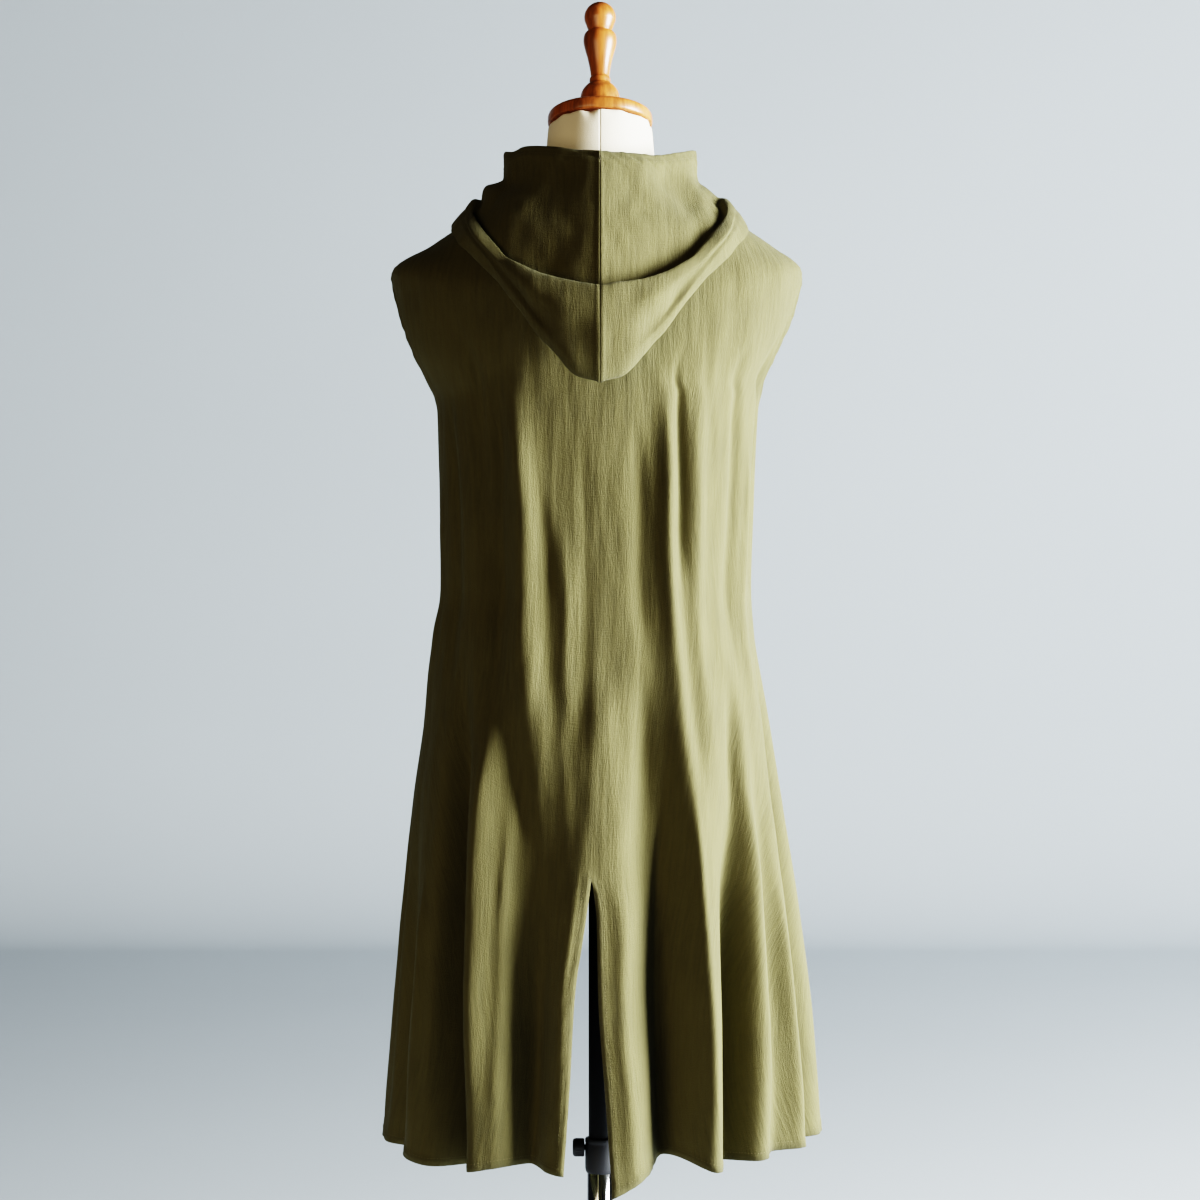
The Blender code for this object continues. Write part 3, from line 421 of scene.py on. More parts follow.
def bump(distance, width):
    """Bell of height 1 round distance 0."""
    return np.exp(-((distance / width) ** 2))


def roughen(points, scale, seed):
    """Smooth noise from -1 to 1 at an array of points."""
    flat = points.reshape(-1, 3) * np.asarray(scale) + seed
    values = [noise.noise(Vector(p)) for p in flat]
    return np.array(values).reshape(points.shape[:-1])


def section(column, row):
    """A column of SECTIONS at fractional rows."""
    return curve(range(len(SECTIONS)), [getattr(s, column) for s in SECTIONS], row)


# ---------------------------------------------------------------- garment surface
def plain_points(side, place, row):
    """Points of the garment without folds, as the CAD solid has them."""
    half = np.where(place < 0, section("left", row), section("right", row))
    depth = section(side, row)
    middle_z = section(side + "_z", row)
    edge = np.arccos((section("armhole", row) / depth) ** (PLAN_POWER / 2))
    angle = np.abs(place) * edge
    power = 2 / PLAN_POWER
    across = half * (np.sin(angle) / np.sin(edge)) ** power
    behind = depth * np.clip(np.cos(angle), 0, 1) ** power
    height = section("side_z", row) + (middle_z - section("side_z", row)) * np.cos(angle) ** 2
    facing = -1 if side == "back" else 1
    behind = facing * np.maximum(behind, SEAM_GAP / 2)
    return np.stack([np.sign(place) * across, behind, height], axis=-1)


def fold_depth(side, place, height):
    """How far the large folds push the cloth inward."""
    depth = np.zeros_like(height)
    for fold in FOLDS[side]:
        down = np.clip((fold.top_z - height) / (fold.top_z - HEM_Z), 0, 1)
        middle = fold.top + (fold.hem - fold.top) * down
        grown = ramp(fold.top_z, fold.full_z, height)
        depth += fold.depth * grown * bump(place - middle, fold.width)
    return depth


def crease_depth(side, place, height):
    """How far the smaller creases push the cloth inward."""
    depth = np.zeros_like(height)
    for number, crease in enumerate(CREASES[side]):
        run = (crease.top_z - height) / (crease.top_z - crease.low_z)
        middle = crease.top + (crease.low - crease.top) * np.clip(run, 0, 1)
        middle = middle + 0.10 * crease.width * np.sin(height * 31 + number * 1.9)
        faded = ramp(-0.02, 0.30, run) * (1 - ramp(0.78, 1.15, run))
        width = crease.width * (0.75 + 0.5 * np.clip(run, 0, 1))
        depth += crease.depth * faded * bump(place - middle, width)
    return depth


def panel_points(side, half, place, row, sizes):
    """Points of a panel's outer face, with folds, creases, slit and hem."""
    points = plain_points(side, place, row)
    edge_z = read(HEMS[side, half], "place", "height", place)
    height = points[..., 2]
    drop = np.clip((HIP_Z - height) / (HIP_Z - HEM_Z), 0, None)
    points[..., 2] = height + (edge_z - HEM_Z) * drop
    height = points[..., 2]
    width = np.where(place < 0, section("left", row), section("right", row))
    inward = np.stack([
        -points[..., 0] / width ** 2, -points[..., 1] / section(side, row) ** 2,
        np.zeros_like(height)], axis=-1)
    inward /= np.linalg.norm(inward, axis=-1, keepdims=True)
    depth = fold_depth(side, place, height) + crease_depth(side, place, height)
    uneven = roughen(points, (34, 34, 5), 3.1) + 0.5 * roughen(points, (90, 90, 16), 8.7)
    depth += sizes.crinkle * uneven * ramp(1.47, 1.40, height)
    depth *= ramp(1.0, 0.92, np.abs(place))
    points += inward * depth[..., None]
    pull = np.clip(1 - np.abs(place) / SLIT_REACH, 0, None) ** 2
    points[..., 0] += pull * read(SLITS[side], "height", half, points[..., 2])
    return points


def slit_row(side):
    """The fractional row at which a panel's middle reaches the top of its slit."""
    low, high = 0.0, len(SECTIONS) - 1.0
    for _ in range(30):
        middle = (low + high) / 2
        if plain_points(side, np.zeros(1), np.array([middle]))[0, 2] > SLIT_TOP[side]:
            low = middle
        else:
            high = middle
    return (low + high) / 2


def row_places(count, at_slit):
    """Fractional rows down a panel, evenly spaced in cloth length, one at the slit's top."""
    fine = np.linspace(0, len(SECTIONS) - 1, 600)
    middle = plain_points("back", np.full(600, 0.5), fine)
    length = np.concatenate(([0], np.cumsum(np.linalg.norm(np.diff(middle, axis=0), axis=1))))
    rows = np.interp(np.linspace(0, length[-1], count + 1), length, fine)
    rows[np.argmin(np.abs(rows - at_slit))] = at_slit
    return rows


# ---------------------------------------------------------------- cloth meshes
def grid_lengths(points):
    """Distances along the second axis of a grid of points, from its start."""
    steps = np.linalg.norm(np.diff(points, axis=1), axis=2)
    return np.concatenate((np.zeros((len(points), 1)), np.cumsum(steps, axis=1)), axis=1)


def grid_normals(points, outward):
    """Unit normals of a grid of points, facing the way outward does."""
    down = np.gradient(points, axis=0)
    along = np.gradient(points, axis=1)
    normals = np.cross(down, along)
    normals /= np.maximum(np.linalg.norm(normals, axis=-1, keepdims=True), 1e-12)
    flip = np.sign(np.sum(normals * outward))
    return normals * (flip if flip else 1)


def raise_hem(points, normals, distance, sizes, phase, strength=1.0):
    """Lift the turned hem off the cloth and pucker it; returns points and the hem's mask."""
    mask = ramp(sizes.hem * 1.06, sizes.hem * 0.94, distance)
    line = bump(distance - sizes.hem * 0.86, 0.0011)
    along = points @ np.array(PUCKER_WAVES)
    pucker = np.sin(along * 5.3 + phase) + 0.6 * np.sin(along * 9.1 + 2 * phase)
    near = ramp(sizes.hem * 2.6, sizes.hem * 0.8, distance)
    lift = sizes.hem_rise * (mask - 0.9 * line) + sizes.pucker * pucker * near * 0.5
    return points + normals * (strength * lift)[..., None], mask


def cloth_object(name, mesh_data, sizes):
    """Cloth piece from vertices, faces, UVs in metres and a hem mask, given its wall."""
    vertices, faces, uvs, hems = mesh_data
    data = bpy.data.meshes.new(name)
    data.from_pydata([tuple(v) for v in vertices], [], faces)
    layer = data.uv_layers.new(name="cloth")
    loops = np.empty(len(data.loops), dtype=np.int32)
    data.loops.foreach_get("vertex_index", loops)
    layer.data.foreach_set("uv", np.asarray(uvs)[loops].ravel())
    mask = data.attributes.new("hem", "FLOAT", "POINT")
    mask.data.foreach_set("value", np.asarray(hems, dtype=np.float32))
    data.shade_smooth()
    piece = bpy.data.objects.new(name, data)
    bpy.context.collection.objects.link(piece)
    wall = piece.modifiers.new("wall", "SOLIDIFY")
    wall.thickness = sizes.wall
    wall.offset = -1
    wall.use_even_offset = False
    apply_modifiers(piece)
    return piece


def apply_modifiers(piece):
    """Apply every modifier of one object."""
    bpy.ops.object.select_all(action="DESELECT")
    piece.select_set(True)
    bpy.context.view_layer.objects.active = piece
    for modifier in list(piece.modifiers):
        bpy.ops.object.modifier_apply(modifier=modifier.name)


def quads(first, rows, columns):
    """Faces of a grid whose vertices are numbered row by row from first."""
    faces = []
    for r in range(rows - 1):
        for c in range(columns - 1):
            a = first + r * columns + c
            faces.append((a, a + columns, a + columns + 1, a + 1))
    return faces


def panel_mesh(side, sizes, columns, count):
    """Grid of one panel, whole above the slit and split below it."""
    at_slit = slit_row(side)
    rows = row_places(count, at_slit)
    split = int(np.argmin(np.abs(rows - at_slit)))
    edge = np.linspace(0, 1, columns + 1)
    halves = {}
    for half, sign in (("left", -1), ("right", 1)):
        place, row = np.meshgrid(sign * edge, rows)
        points = panel_points(side, half, place, row, sizes)
        outward = points * np.array([1, 1, 0])
        normals = grid_normals(points, outward)
        across = grid_lengths(points)
        down = grid_lengths(points.transpose(1, 0, 2)).T
        from_hem = down[-1:, :] - down
        below = np.arange(len(rows)) > split
        from_slit = np.where(below[:, None], across, 1.0)
        from_slit[split] = np.maximum(across[split], 0.2 * sizes.hem)
        at_armhole = ((rows > ARMHOLE_ROW) & (rows < UNDERARM_ROW))[:, None]
        from_side = across[:, -1:] - across
        from_armhole = np.where(at_armhole, from_side, 1.0)
        phase = HEM_PHASES[half]
        points, hem_mask = raise_hem(points, normals, from_hem, sizes, phase)
        points, slit_mask = raise_hem(points, normals, from_slit, sizes, phase + 1)
        points, arm_mask = raise_hem(points, normals, from_armhole, sizes, phase + 2, 1.3)
        mask = np.maximum(np.maximum(hem_mask, slit_mask), arm_mask)
        uv = np.stack([sign * across, down], axis=-1)
        halves[half] = (points, normals, uv, mask)
    return halves, split


def join_halves(halves, split):
    """One vertex list for both halves, sharing the middle column down to the slit's top."""
    left_points, _, left_uv, left_mask = halves["left"]
    right_points, _, right_uv, right_mask = halves["right"]
    rows, columns = left_mask.shape
    vertices = list(left_points.reshape(-1, 3))
    uvs = list(left_uv.reshape(-1, 2))
    masks = list(left_mask.ravel())
    index = np.arange(rows * columns).reshape(rows, columns)
    right_index = np.empty_like(index)
    for r in range(rows):
        for c in range(columns):
            if c == 0 and r <= split:
                shared = index[r, 0]
                vertices[shared] = (left_points[r, 0] + right_points[r, 0]) / 2
                right_index[r, c] = shared
                continue
            right_index[r, c] = len(vertices)
            vertices.append(right_points[r, c])
            uvs.append(right_uv[r, c])
            masks.append(right_mask[r, c])
    faces = []
    for grid, mirrored in ((index, True), (right_index, False)):
        for r in range(rows - 1):
            for c in range(columns - 1):
                face = (grid[r, c], grid[r + 1, c], grid[r + 1, c + 1], grid[r, c + 1])
                faces.append(tuple(int(i) for i in (reversed(face) if mirrored else face)))
    return vertices, faces, uvs, masks


# ---------------------------------------------------------------- hood surface
def garment_out(angle, height):
    """How far the plain garment is from the neck's axis at angles and heights."""
    turn = np.radians(np.minimum(angle, 180 - angle))
    behind = angle <= 90
    power = PLAN_POWER / 2

    def ring_point(row):
        half = section("left", row)
        depth = np.where(behind, section("back", row), section("front", row))
        slant = np.arctan2((np.sin(turn) * depth) ** power, (np.cos(turn) * half) ** power)
        across, back = half * np.sin(slant) ** (1 / power), depth * np.cos(slant) ** (1 / power)
        middle_z = np.where(behind, section("back_z", row), section("front_z", row))
        side_z = section("side_z", row)
        return np.hypot(across, back), side_z + (middle_z - side_z) * np.cos(slant) ** 2

    low, high = np.zeros_like(turn), np.full_like(turn, UNDERARM_ROW)
    above = ring_point(low)[1] <= height
    for _ in range(20):
        middle = (low + high) / 2
        higher = ring_point(middle)[1] > height
        low, high = np.where(higher, middle, low), np.where(higher, high, middle)
    return np.where(above, 0.0, ring_point(low)[0])


def lifted_points(angle, sign, row, lift):
    """Points above the plain garment, square to it, at angles round the neck."""
    behind = angle <= 90
    place = sign * np.where(behind, angle, 180 - angle) / 90
    lifted = []
    for side in ("back", "front"):
        points = plain_points(side, place, row)
        down = plain_points(side, place, row + 0.2) - points
        down /= np.linalg.norm(down, axis=-1, keepdims=True)
        upright = np.array([0, 0, 1]) - down * down[..., 2:]
        upright /= np.linalg.norm(upright, axis=-1, keepdims=True)
        lifted.append(points + upright * lift[..., None])
    return np.where(behind[..., None], *lifted)


def hood_lines(angle, sign):
    """Key points of the hood's profile, line by line, at angles round the neck."""
    turn = np.radians(angle)
    lines = []
    tables = HOOD_LINES if sign > 0 else {**HOOD_LINES, **HOOD_LEFT_LINES}
    beside = ramp(45, 80, angle)
    for name, rows in tables.items():
        height = read(rows, "angle", "height", angle)
        least = HOOD_CLEARANCE[name]
        nearest = garment_out(angle, height) + least.behind
        nearest += (least.beside - least.behind) * beside
        out = np.maximum(read(rows, "angle", "out", angle), nearest)
        lines.append(np.stack([sign * out * np.sin(turn), -out * np.cos(turn), height], -1))
    row, lift = (read(HOOD_ROOT, "angle", column, angle) for column in ("row", "lift"))
    lines.append(lifted_points(angle, sign, row, lift))
    seam = np.full_like(angle, 2 * SEAM_GAP)
    lines.append(lifted_points(angle, sign, np.zeros_like(angle), seam))
    return lines


def rounded(keys, steps):
    """Catmull-Rom curve through lines of points; returns the points and their line number."""
    ends = [2 * keys[0] - keys[1]] + keys + [2 * keys[-1] - keys[-2]]
    points, numbers = [keys[0]], [0.0]
    for i, count in enumerate(steps):
        a, b, c, d = ends[i:i + 4]
        for t in np.arange(1, count + 1) / count:
            points.append(0.5 * (2 * b + (c - a) * t + (2 * a - 5 * b + 4 * c - d) * t * t
                                 + (3 * b - a - 3 * c + d) * t ** 3))
            numbers.append(i + t)
    return np.array(points), np.array(numbers)


def hood_mesh(sign, sizes):
    """Grid of the left (-1) or right (1) half of the hood, from the face edge down."""
    angle = np.concatenate(([0.0], np.linspace(0, 96, 66), np.linspace(96, 180, 40)[1:], [180.0]))
    points, lines = rounded(hood_lines(np.maximum(angle, 0.0001), sign), HOOD_STEPS)
    outward = np.zeros_like(points)
    at = slice(0, int(np.searchsorted(lines, 3)))
    outward[at] = points[at] * np.array([1, 1, 0])
    normals = grid_normals(points, -outward)
    depth = np.zeros(points.shape[:2])
    for pull in HOOD_PULLS[sign]:
        run = (lines - pull.start) / (pull.end - pull.start)
        middle = pull.top + (pull.low - pull.top) * (lines / 8)
        strength = ramp(0, 0.35, run) * (1 - ramp(0.65, 1.0, run))
        depth += pull.depth * strength[:, None] * bump(angle - middle[:, None], pull.width)
    uneven = roughen(points, (26, 26, 26), 5.5) + 0.5 * roughen(points, (70, 70, 40), 1.3)
    depth += 1.3 * sizes.crinkle * uneven
    from_seam = np.minimum(angle, 180 - angle) / 8
    depth = depth * ramp(0, 1, from_seam) * ramp(12.0, 9.5, lines)[:, None]
    points = points - normals * depth[..., None]
    tent = np.clip(1 - angle / HOOD_TENT_TURN, 0, 1) ** 1.3 * ramp(12.0, 9.5, lines)[:, None]
    points[..., 1] -= HOOD_TENT * tent
    across = grid_lengths(points)
    down = grid_lengths(points.transpose(1, 0, 2)).T
    seam_dip = bump(np.minimum(across, across[:, -1:] - across), 0.0022)
    points -= normals * (0.0009 * seam_dip)[..., None]
    points, mask = raise_hem(points, normals, down, sizes, 1.1 + sign, 1.4)
    nearest = np.full(len(angle), SEAM_GAP / 2 + 0.0008)
    nearest[[0, -1]] = SEAM_GAP / 2
    points[..., 0] = sign * np.maximum(sign * points[..., 0], nearest)
    points[:, [0, -1], 0] = sign * SEAM_GAP / 2
    uv = np.stack([sign * across, down], axis=-1)
    faces = []
    rows, columns = mask.shape
    for face in quads(0, rows, columns):
        faces.append(tuple(reversed(face)) if sign < 0 else face)
    grid = (points, normals, uv, mask)
    return (points.reshape(-1, 3), faces, uv.reshape(-1, 2), mask.ravel()), grid


# ---------------------------------------------------------------- stitches
def along_rows(grid, distance, rows, from_far=False):
    """Line of points and normals that keeps a distance from a grid's first (or last) column."""
    points, normals = grid[0][rows], grid[1][rows]
    if from_far:
        points, normals = points[:, ::-1], normals[:, ::-1]
    lengths = grid_lengths(points)
    line, facing = [], []
    for r in range(len(points)):
        for values, into in ((points[r], line), (normals[r], facing)):
            into.append([np.interp(distance, lengths[r], values[:, k]) for k in range(3)])
    return np.array(line), np.array(facing)


def along_columns(grid, distance, from_foot=True):
    """The same line beside a grid's last (or first) row."""
    turned = tuple(part.transpose(1, 0, 2) for part in grid[:2])
    return along_rows(turned, distance, slice(None), from_foot)


def stitch_line(line, facing, sizes, loose):
    """Vertices and faces of separate stitches, one grain each, along a line."""
    steps = np.linalg.norm(np.diff(line, axis=0), axis=1)
    length = np.concatenate(([0], np.cumsum(steps)))
    pitch = sizes.stitch * STITCH_PITCH
    vertices, faces = [], []
    for start in np.arange(0.5 * pitch, length[-1] - pitch, pitch):
        start += loose.uniform(-STITCH_LOOSE, STITCH_LOOSE) * pitch
        places = start + sizes.stitch * np.array([0, 0.5, 1.0])
        ends = [Vector([np.interp(p, length, line[:, k]) for k in range(3)]) for p in places]
        up = Vector([np.interp(places[1], length, facing[:, k]) for k in range(3)]).normalized()
        ahead = (ends[2] - ends[0]).normalized()
        aside = ahead.cross(up).normalized()
        skew = loose.uniform(-STITCH_SKEW, STITCH_SKEW)
        middle = ends[1] + up * THREAD_LIFT + aside * skew
        first = len(vertices)
        vertices += [
            ends[0] - up * THREAD_END, middle + aside * THREAD_SIDE, middle + up * THREAD_TOP,
            middle - aside * THREAD_SIDE, middle - up * THREAD_FOOT, ends[2] - up * THREAD_END]
        for a, b in ((1, 2), (2, 3), (3, 4), (4, 1)):
            faces.append((first, first + b, first + a))
            faces.append((first + 5, first + a, first + b))
    return vertices, faces


def stitches_object(name, lines, sizes, seed):
    """One object of all the stitches of a piece."""
    loose = random.Random(seed)
    vertices, faces = [], []
    for line, facing in lines:
        more, joined = stitch_line(line, facing, sizes, loose)
        faces += [tuple(i + len(vertices) for i in face) for face in joined]
        vertices += more
    data = bpy.data.meshes.new(name)
    data.from_pydata(vertices, [], faces)
    data.shade_smooth()
    piece = bpy.data.objects.new(name, data)
    bpy.context.collection.objects.link(piece)
    return piece


# ---------------------------------------------------------------- materials
class Wire:
    """A node's output with arithmetic, so that a material reads as a formula."""

    def __init__(self, tree, socket):
        self.tree = tree
        self.socket = socket

    def node(self, kind, inputs=None, out=0, **settings):
        """Any other node: its settings, its inputs by name or number, and one output."""
        made = self.tree.nodes.new(kind)
        for key, value in settings.items():
            setattr(made, key, value)
        for key, value in (inputs or {}).items():
            feed(self.tree, made.inputs[key], value)
        return Wire(self.tree, made.outputs[out])

    def math(self, operation, *values):
        """A Math node."""
        return self.node("ShaderNodeMath", dict(enumerate(values)), operation=operation)

    def __add__(self, other):
        return self.math("ADD", self, other)

    def __sub__(self, other):
        return self.math("SUBTRACT", self, other)

    def __mul__(self, other):
        return self.math("MULTIPLY", self, other)

    def __radd__(self, other):
        return self.math("ADD", other, self)

    def __rsub__(self, other):
        return self.math("SUBTRACT", other, self)

    def __rmul__(self, other):
        return self.math("MULTIPLY", other, self)

    def sine(self):
        """The sine of this number."""
        return self.math("SINE", self)

    def size(self):
        """This number without its sign."""
        return self.math("ABSOLUTE", self)

    def stretch(self, by):
        """This vector times another."""
        return self.node("ShaderNodeVectorMath", {0: self, 1: by}, operation="MULTIPLY")

    def tint(self, low, high):
        """A colour between two, this being the share of the second."""
        return self.node(
            "ShaderNodeMix", {0: self, 6: low, 7: high}, out=2, data_type="RGBA",
            clamp_factor=True)

    def noise(self, scale, detail=2.0, rough=0.5):
        """Noise from 0 to 1 over this vector."""
        return self.node(
            "ShaderNodeTexNoise", {"Vector": self, "Scale": scale, "Detail": detail,
                                   "Roughness": rough})

    def part(self, axis):
        """One axis of this vector."""
        return self.node("ShaderNodeSeparateXYZ", {0: self}, out="XYZ".index(axis))

    def between(self, low, high):
        """This number's share of the way from low to high, with soft ends."""
        return self.node(
            "ShaderNodeMapRange", {0: self, 1: low, 2: high}, interpolation_type="SMOOTHSTEP")


def feed(tree, socket, value):
    """Connect a wire to a socket, or set the socket's own value."""
    if isinstance(value, Wire):
        tree.links.new(value.socket, socket)
    elif isinstance(value, (tuple, list)) and len(value) == 3 and socket.type == "RGBA":
        socket.default_value = (*value, 1.0)
    else:
        socket.default_value = value


def new_material(name, **constants):
    """A material, its shader and a wire of object coordinates; constants go on the shader."""
    made = bpy.data.materials.new(name)
    made.use_nodes = True
    tree = made.node_tree
    shader = tree.nodes["Principled BSDF"]
    for key, value in constants.items():
        feed(tree, shader.inputs[key.replace("_", " ")], value)
    place = tree.nodes.new("ShaderNodeTexCoord")
    return made, shader, Wire(tree, place.outputs["Object"])


def emboss(shader, height, distance, strength=1.0):
    """Bump on a shader's normal from a height wire."""
    bumped = height.node(
        "ShaderNodeBump", {"Height": height, "Distance": distance, "Strength": strength})
    feed(height.tree, shader.inputs["Normal"], bumped)


def shade(colour, by):
    """A colour made lighter or darker."""
    return tuple(min(1.0, c * by) for c in colour)


def cloth_material(name, finishes):
    """Crinkled olive gauze: streaks of painted shade along the crinkle troughs and slub tone down
    the cloth, darker turned hems.
    """
    made, shader, place = new_material(name, Sheen_Weight=0.07, Sheen_Roughness=0.45,
                                       Sheen_Tint=(0.72, 0.78, 0.74))
    cloth = tuple(finishes.cloth)
    flat = place.node("ShaderNodeUVMap", uv_map="cloth")
    hem = place.node("ShaderNodeAttribute", attribute_name="hem", out=2)
    crinkle = flat.stretch((230.0, 22.0, 1.0)).noise(1.0, 3.0, 0.5)
    fine = flat.stretch((900.0, 130.0, 1.0)).noise(1.0, 2.0, 0.6)
    slub = flat.stretch((60.0, 1100.0, 1.0)).noise(1.0, 2.0, 0.6)
    cloud = place.noise(9.0, 3.0)
    # painted shade: the colour darkens where the crinkle bump is low and lightens on its ridges,
    # with real slub tone mixed in
    crinkle_shade_and_slub = 0.55 * crinkle + 0.25 * fine + 0.2 * slub
    tone = crinkle_shade_and_slub.between(0.32, 0.68).tint(shade(cloth, 0.86), shade(cloth, 1.13))
    faded = (cloud.between(0.35, 0.68) * 0.35).tint(tone, shade(cloth, 1.22))
    feed(place.tree, shader.inputs["Base Color"], (hem * 0.35).tint(faded, shade(cloth, 0.66)))
    feed(place.tree, shader.inputs["Roughness"], 0.84 + 0.1 * fine)
    warp, weft = (flat.part("X") * 8200.0).sine(), (flat.part("Y") * 7600.0).sine()
    height = 0.62 * crinkle + 0.42 * fine + 0.24 * slub + 0.05 * warp * weft
    emboss(shader, height, 0.0013)
    return made


def thread_material(name, finishes):
    """Matt twisted thread."""
    made, shader, place = new_material(name, Roughness=0.8, Sheen_Weight=0.2)
    thread = tuple(finishes.thread)
    twist = place.noise(900.0, 2.0)
    feed(place.tree, shader.inputs["Base Color"], twist.tint(thread, shade(thread, 1.7)))
    emboss(shader, twist, 0.0002)
    return made


def cover_material(name, finishes):
    """Cream jersey with the faint seam down the middle of the form."""
    made, shader, place = new_material(name, Roughness=0.88, Sheen_Weight=0.25)
    cover = tuple(finishes.cover)
    seam = 1.0 - place.part("X").size().between(0.0003, 0.0014)
    knit = place.stretch((1500.0, 1500.0, 900.0)).noise(1.0, 1.0)
    cloud = place.noise(18.0, 3.0)
    base = cloud.between(0.3, 0.7).tint(shade(cover, 0.94), shade(cover, 1.03))
    feed(place.tree, shader.inputs["Base Color"], (seam * 0.45).tint(base, shade(cover, 0.62)))
    emboss(shader, 0.35 * knit - 0.9 * seam, 0.0008)
    return made


def wood_material(name, finishes):
    """Lacquered wood, its grain running up the turned pieces."""
    made, shader, place = new_material(name, Coat_Weight=0.3, Coat_Roughness=0.15)
    wood = tuple(finishes.wood)
    grain = place.stretch((210.0, 210.0, 14.0)).noise(1.0, 4.0, 0.6)
    ring = place.stretch((55.0, 55.0, 5.0)).noise(1.0, 2.0)
    tone = (0.6 * grain + 0.4 * ring).between(0.34, 0.66)
    feed(place.tree, shader.inputs["Base Color"], tone.tint(shade(wood, 0.5), shade(wood, 1.1)))
    feed(place.tree, shader.inputs["Roughness"], 0.30 + 0.16 * grain)
    emboss(shader, grain, 0.00025)
    return made


def paint_material(name, finishes):
    """Black paint on steel, slightly uneven."""
    made, shader, place = new_material(name, Specular_IOR_Level=0.18)
    speck = place.noise(700.0, 3.0)
    feed(place.tree, shader.inputs["Base Color"], tuple(finishes.tube))
    feed(place.tree, shader.inputs["Roughness"], 0.42 + 0.2 * speck)
    emboss(shader, speck, 0.00012)
    return made


def plastic_material(name, finishes):
    """Matt black moulded plastic."""
    made, shader, place = new_material(name)
    grain = place.noise(1600.0, 2.0)
    dark = shade(tuple(finishes.tube), 1.8)
    feed(place.tree, shader.inputs["Base Color"], grain.tint(dark, shade(dark, 1.4)))
    feed(place.tree, shader.inputs["Roughness"], 0.42 + 0.2 * grain)
    emboss(shader, grain, 0.0002)
    return made


def chrome_material(name, _finishes):
    """Bright plated steel with faint wear."""
    made, shader, place = new_material(name, Metallic=1.0)
    worn = place.stretch((60.0, 60.0, 12.0)).noise(1.0, 3.0)
    feed(place.tree, shader.inputs["Base Color"],
         worn.tint((0.66, 0.67, 0.69), (0.80, 0.81, 0.83)))
    feed(place.tree, shader.inputs["Roughness"], 0.10 + 0.12 * worn.between(0.5, 0.8))
    return made


def wall_material(name, finishes):
    """Matt pale paint."""
    made, shader, place = new_material(name, Roughness=0.95, Specular_IOR_Level=0.1)
    wall = tuple(finishes.wall)
    cloud = place.noise(1.1, 2.0)
    feed(place.tree, shader.inputs["Base Color"], cloud.tint(shade(wall, 0.97), shade(wall, 1.02)))
    return made


FINISHES = {
    "cloth": cloth_material, "thread": thread_material, "form_cover": cover_material,
    "turned_wood": wood_material, "black_paint": paint_material,
    "black_plastic": plastic_material, "chrome": chrome_material, "wall": wall_material,
}


def finish_of(name):
    """A finish by its name, made once."""
    found = bpy.data.materials.get("surcoat " + name)
    return found or FINISHES[name]("surcoat " + name, bpy.context.scene.surcoat_finishes)


def hand_over(piece, finish, body, nodes=()):
    """Give a piece its finish, its body and the CAD nodes that it stands for."""
    piece.data.materials.clear()
    piece.data.materials.append(finish_of(finish))
    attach(piece, body)
    if nodes:
        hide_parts(*nodes)
    return piece


# ---------------------------------------------------------------- cloth pieces
# Each piece's cut, laid flat: width, length and area.
Cut = namedtuple("Cut", "width length area")


def dress(name, mesh_data, lines, sizes):
    """Make one cloth piece with its stitches, finished and attached to the form, its CAD node
    hidden.
    """
    piece = cloth_object("cloth_" + name, mesh_data, sizes)
    hand_over(piece, "cloth", "form", (name,))
    sewn = stitches_object("stitches_" + name, lines, sizes, name)
    hand_over(sewn, "thread", "form")
    return piece


def panel_stitches(halves, split, sizes):
    """Where a panel is stitched: its bottom hem, slit and armholes."""
    inner = sizes.hem * STITCH_INSET
    lines = []
    for grid in halves.values():
        rows = len(grid[3])
        height = grid[0][:, -1, 2]
        armhole = slice(
            int(np.argmax(height < ARMHOLE_TOP_Z)), int(np.argmax(height < ARMHOLE_FOOT_Z)))
        lines.append(along_columns(grid, inner))
        lines.append(along_rows(grid, inner, slice(split + 2, rows)))
        lines.append(along_rows(grid, inner, armhole, from_far=True))
    return lines


def make_panel(side, sizes, columns, rows):
    """The back or the front of the garment."""
    halves, split = panel_mesh(side, sizes, columns, rows)
    mesh_data = join_halves(halves, split)
    if side == "front":
        vertices, faces, uvs, masks = mesh_data
        mesh_data = vertices, [tuple(reversed(face)) for face in faces], uvs, masks
    return dress(side, mesh_data, panel_stitches(halves, split, sizes), sizes)


def make_hood_half(name, sign, sizes):
    """One half of the hood."""
    mesh_data, grid = hood_mesh(sign, sizes)
    beside_seam = along_rows(grid, SEAM_STITCH_INSET, slice(3, len(grid[3]) - 8))
    face_edge = along_columns(grid, sizes.hem * STITCH_INSET, from_foot=False)
    return dress(name, mesh_data, [beside_seam, face_edge], sizes)


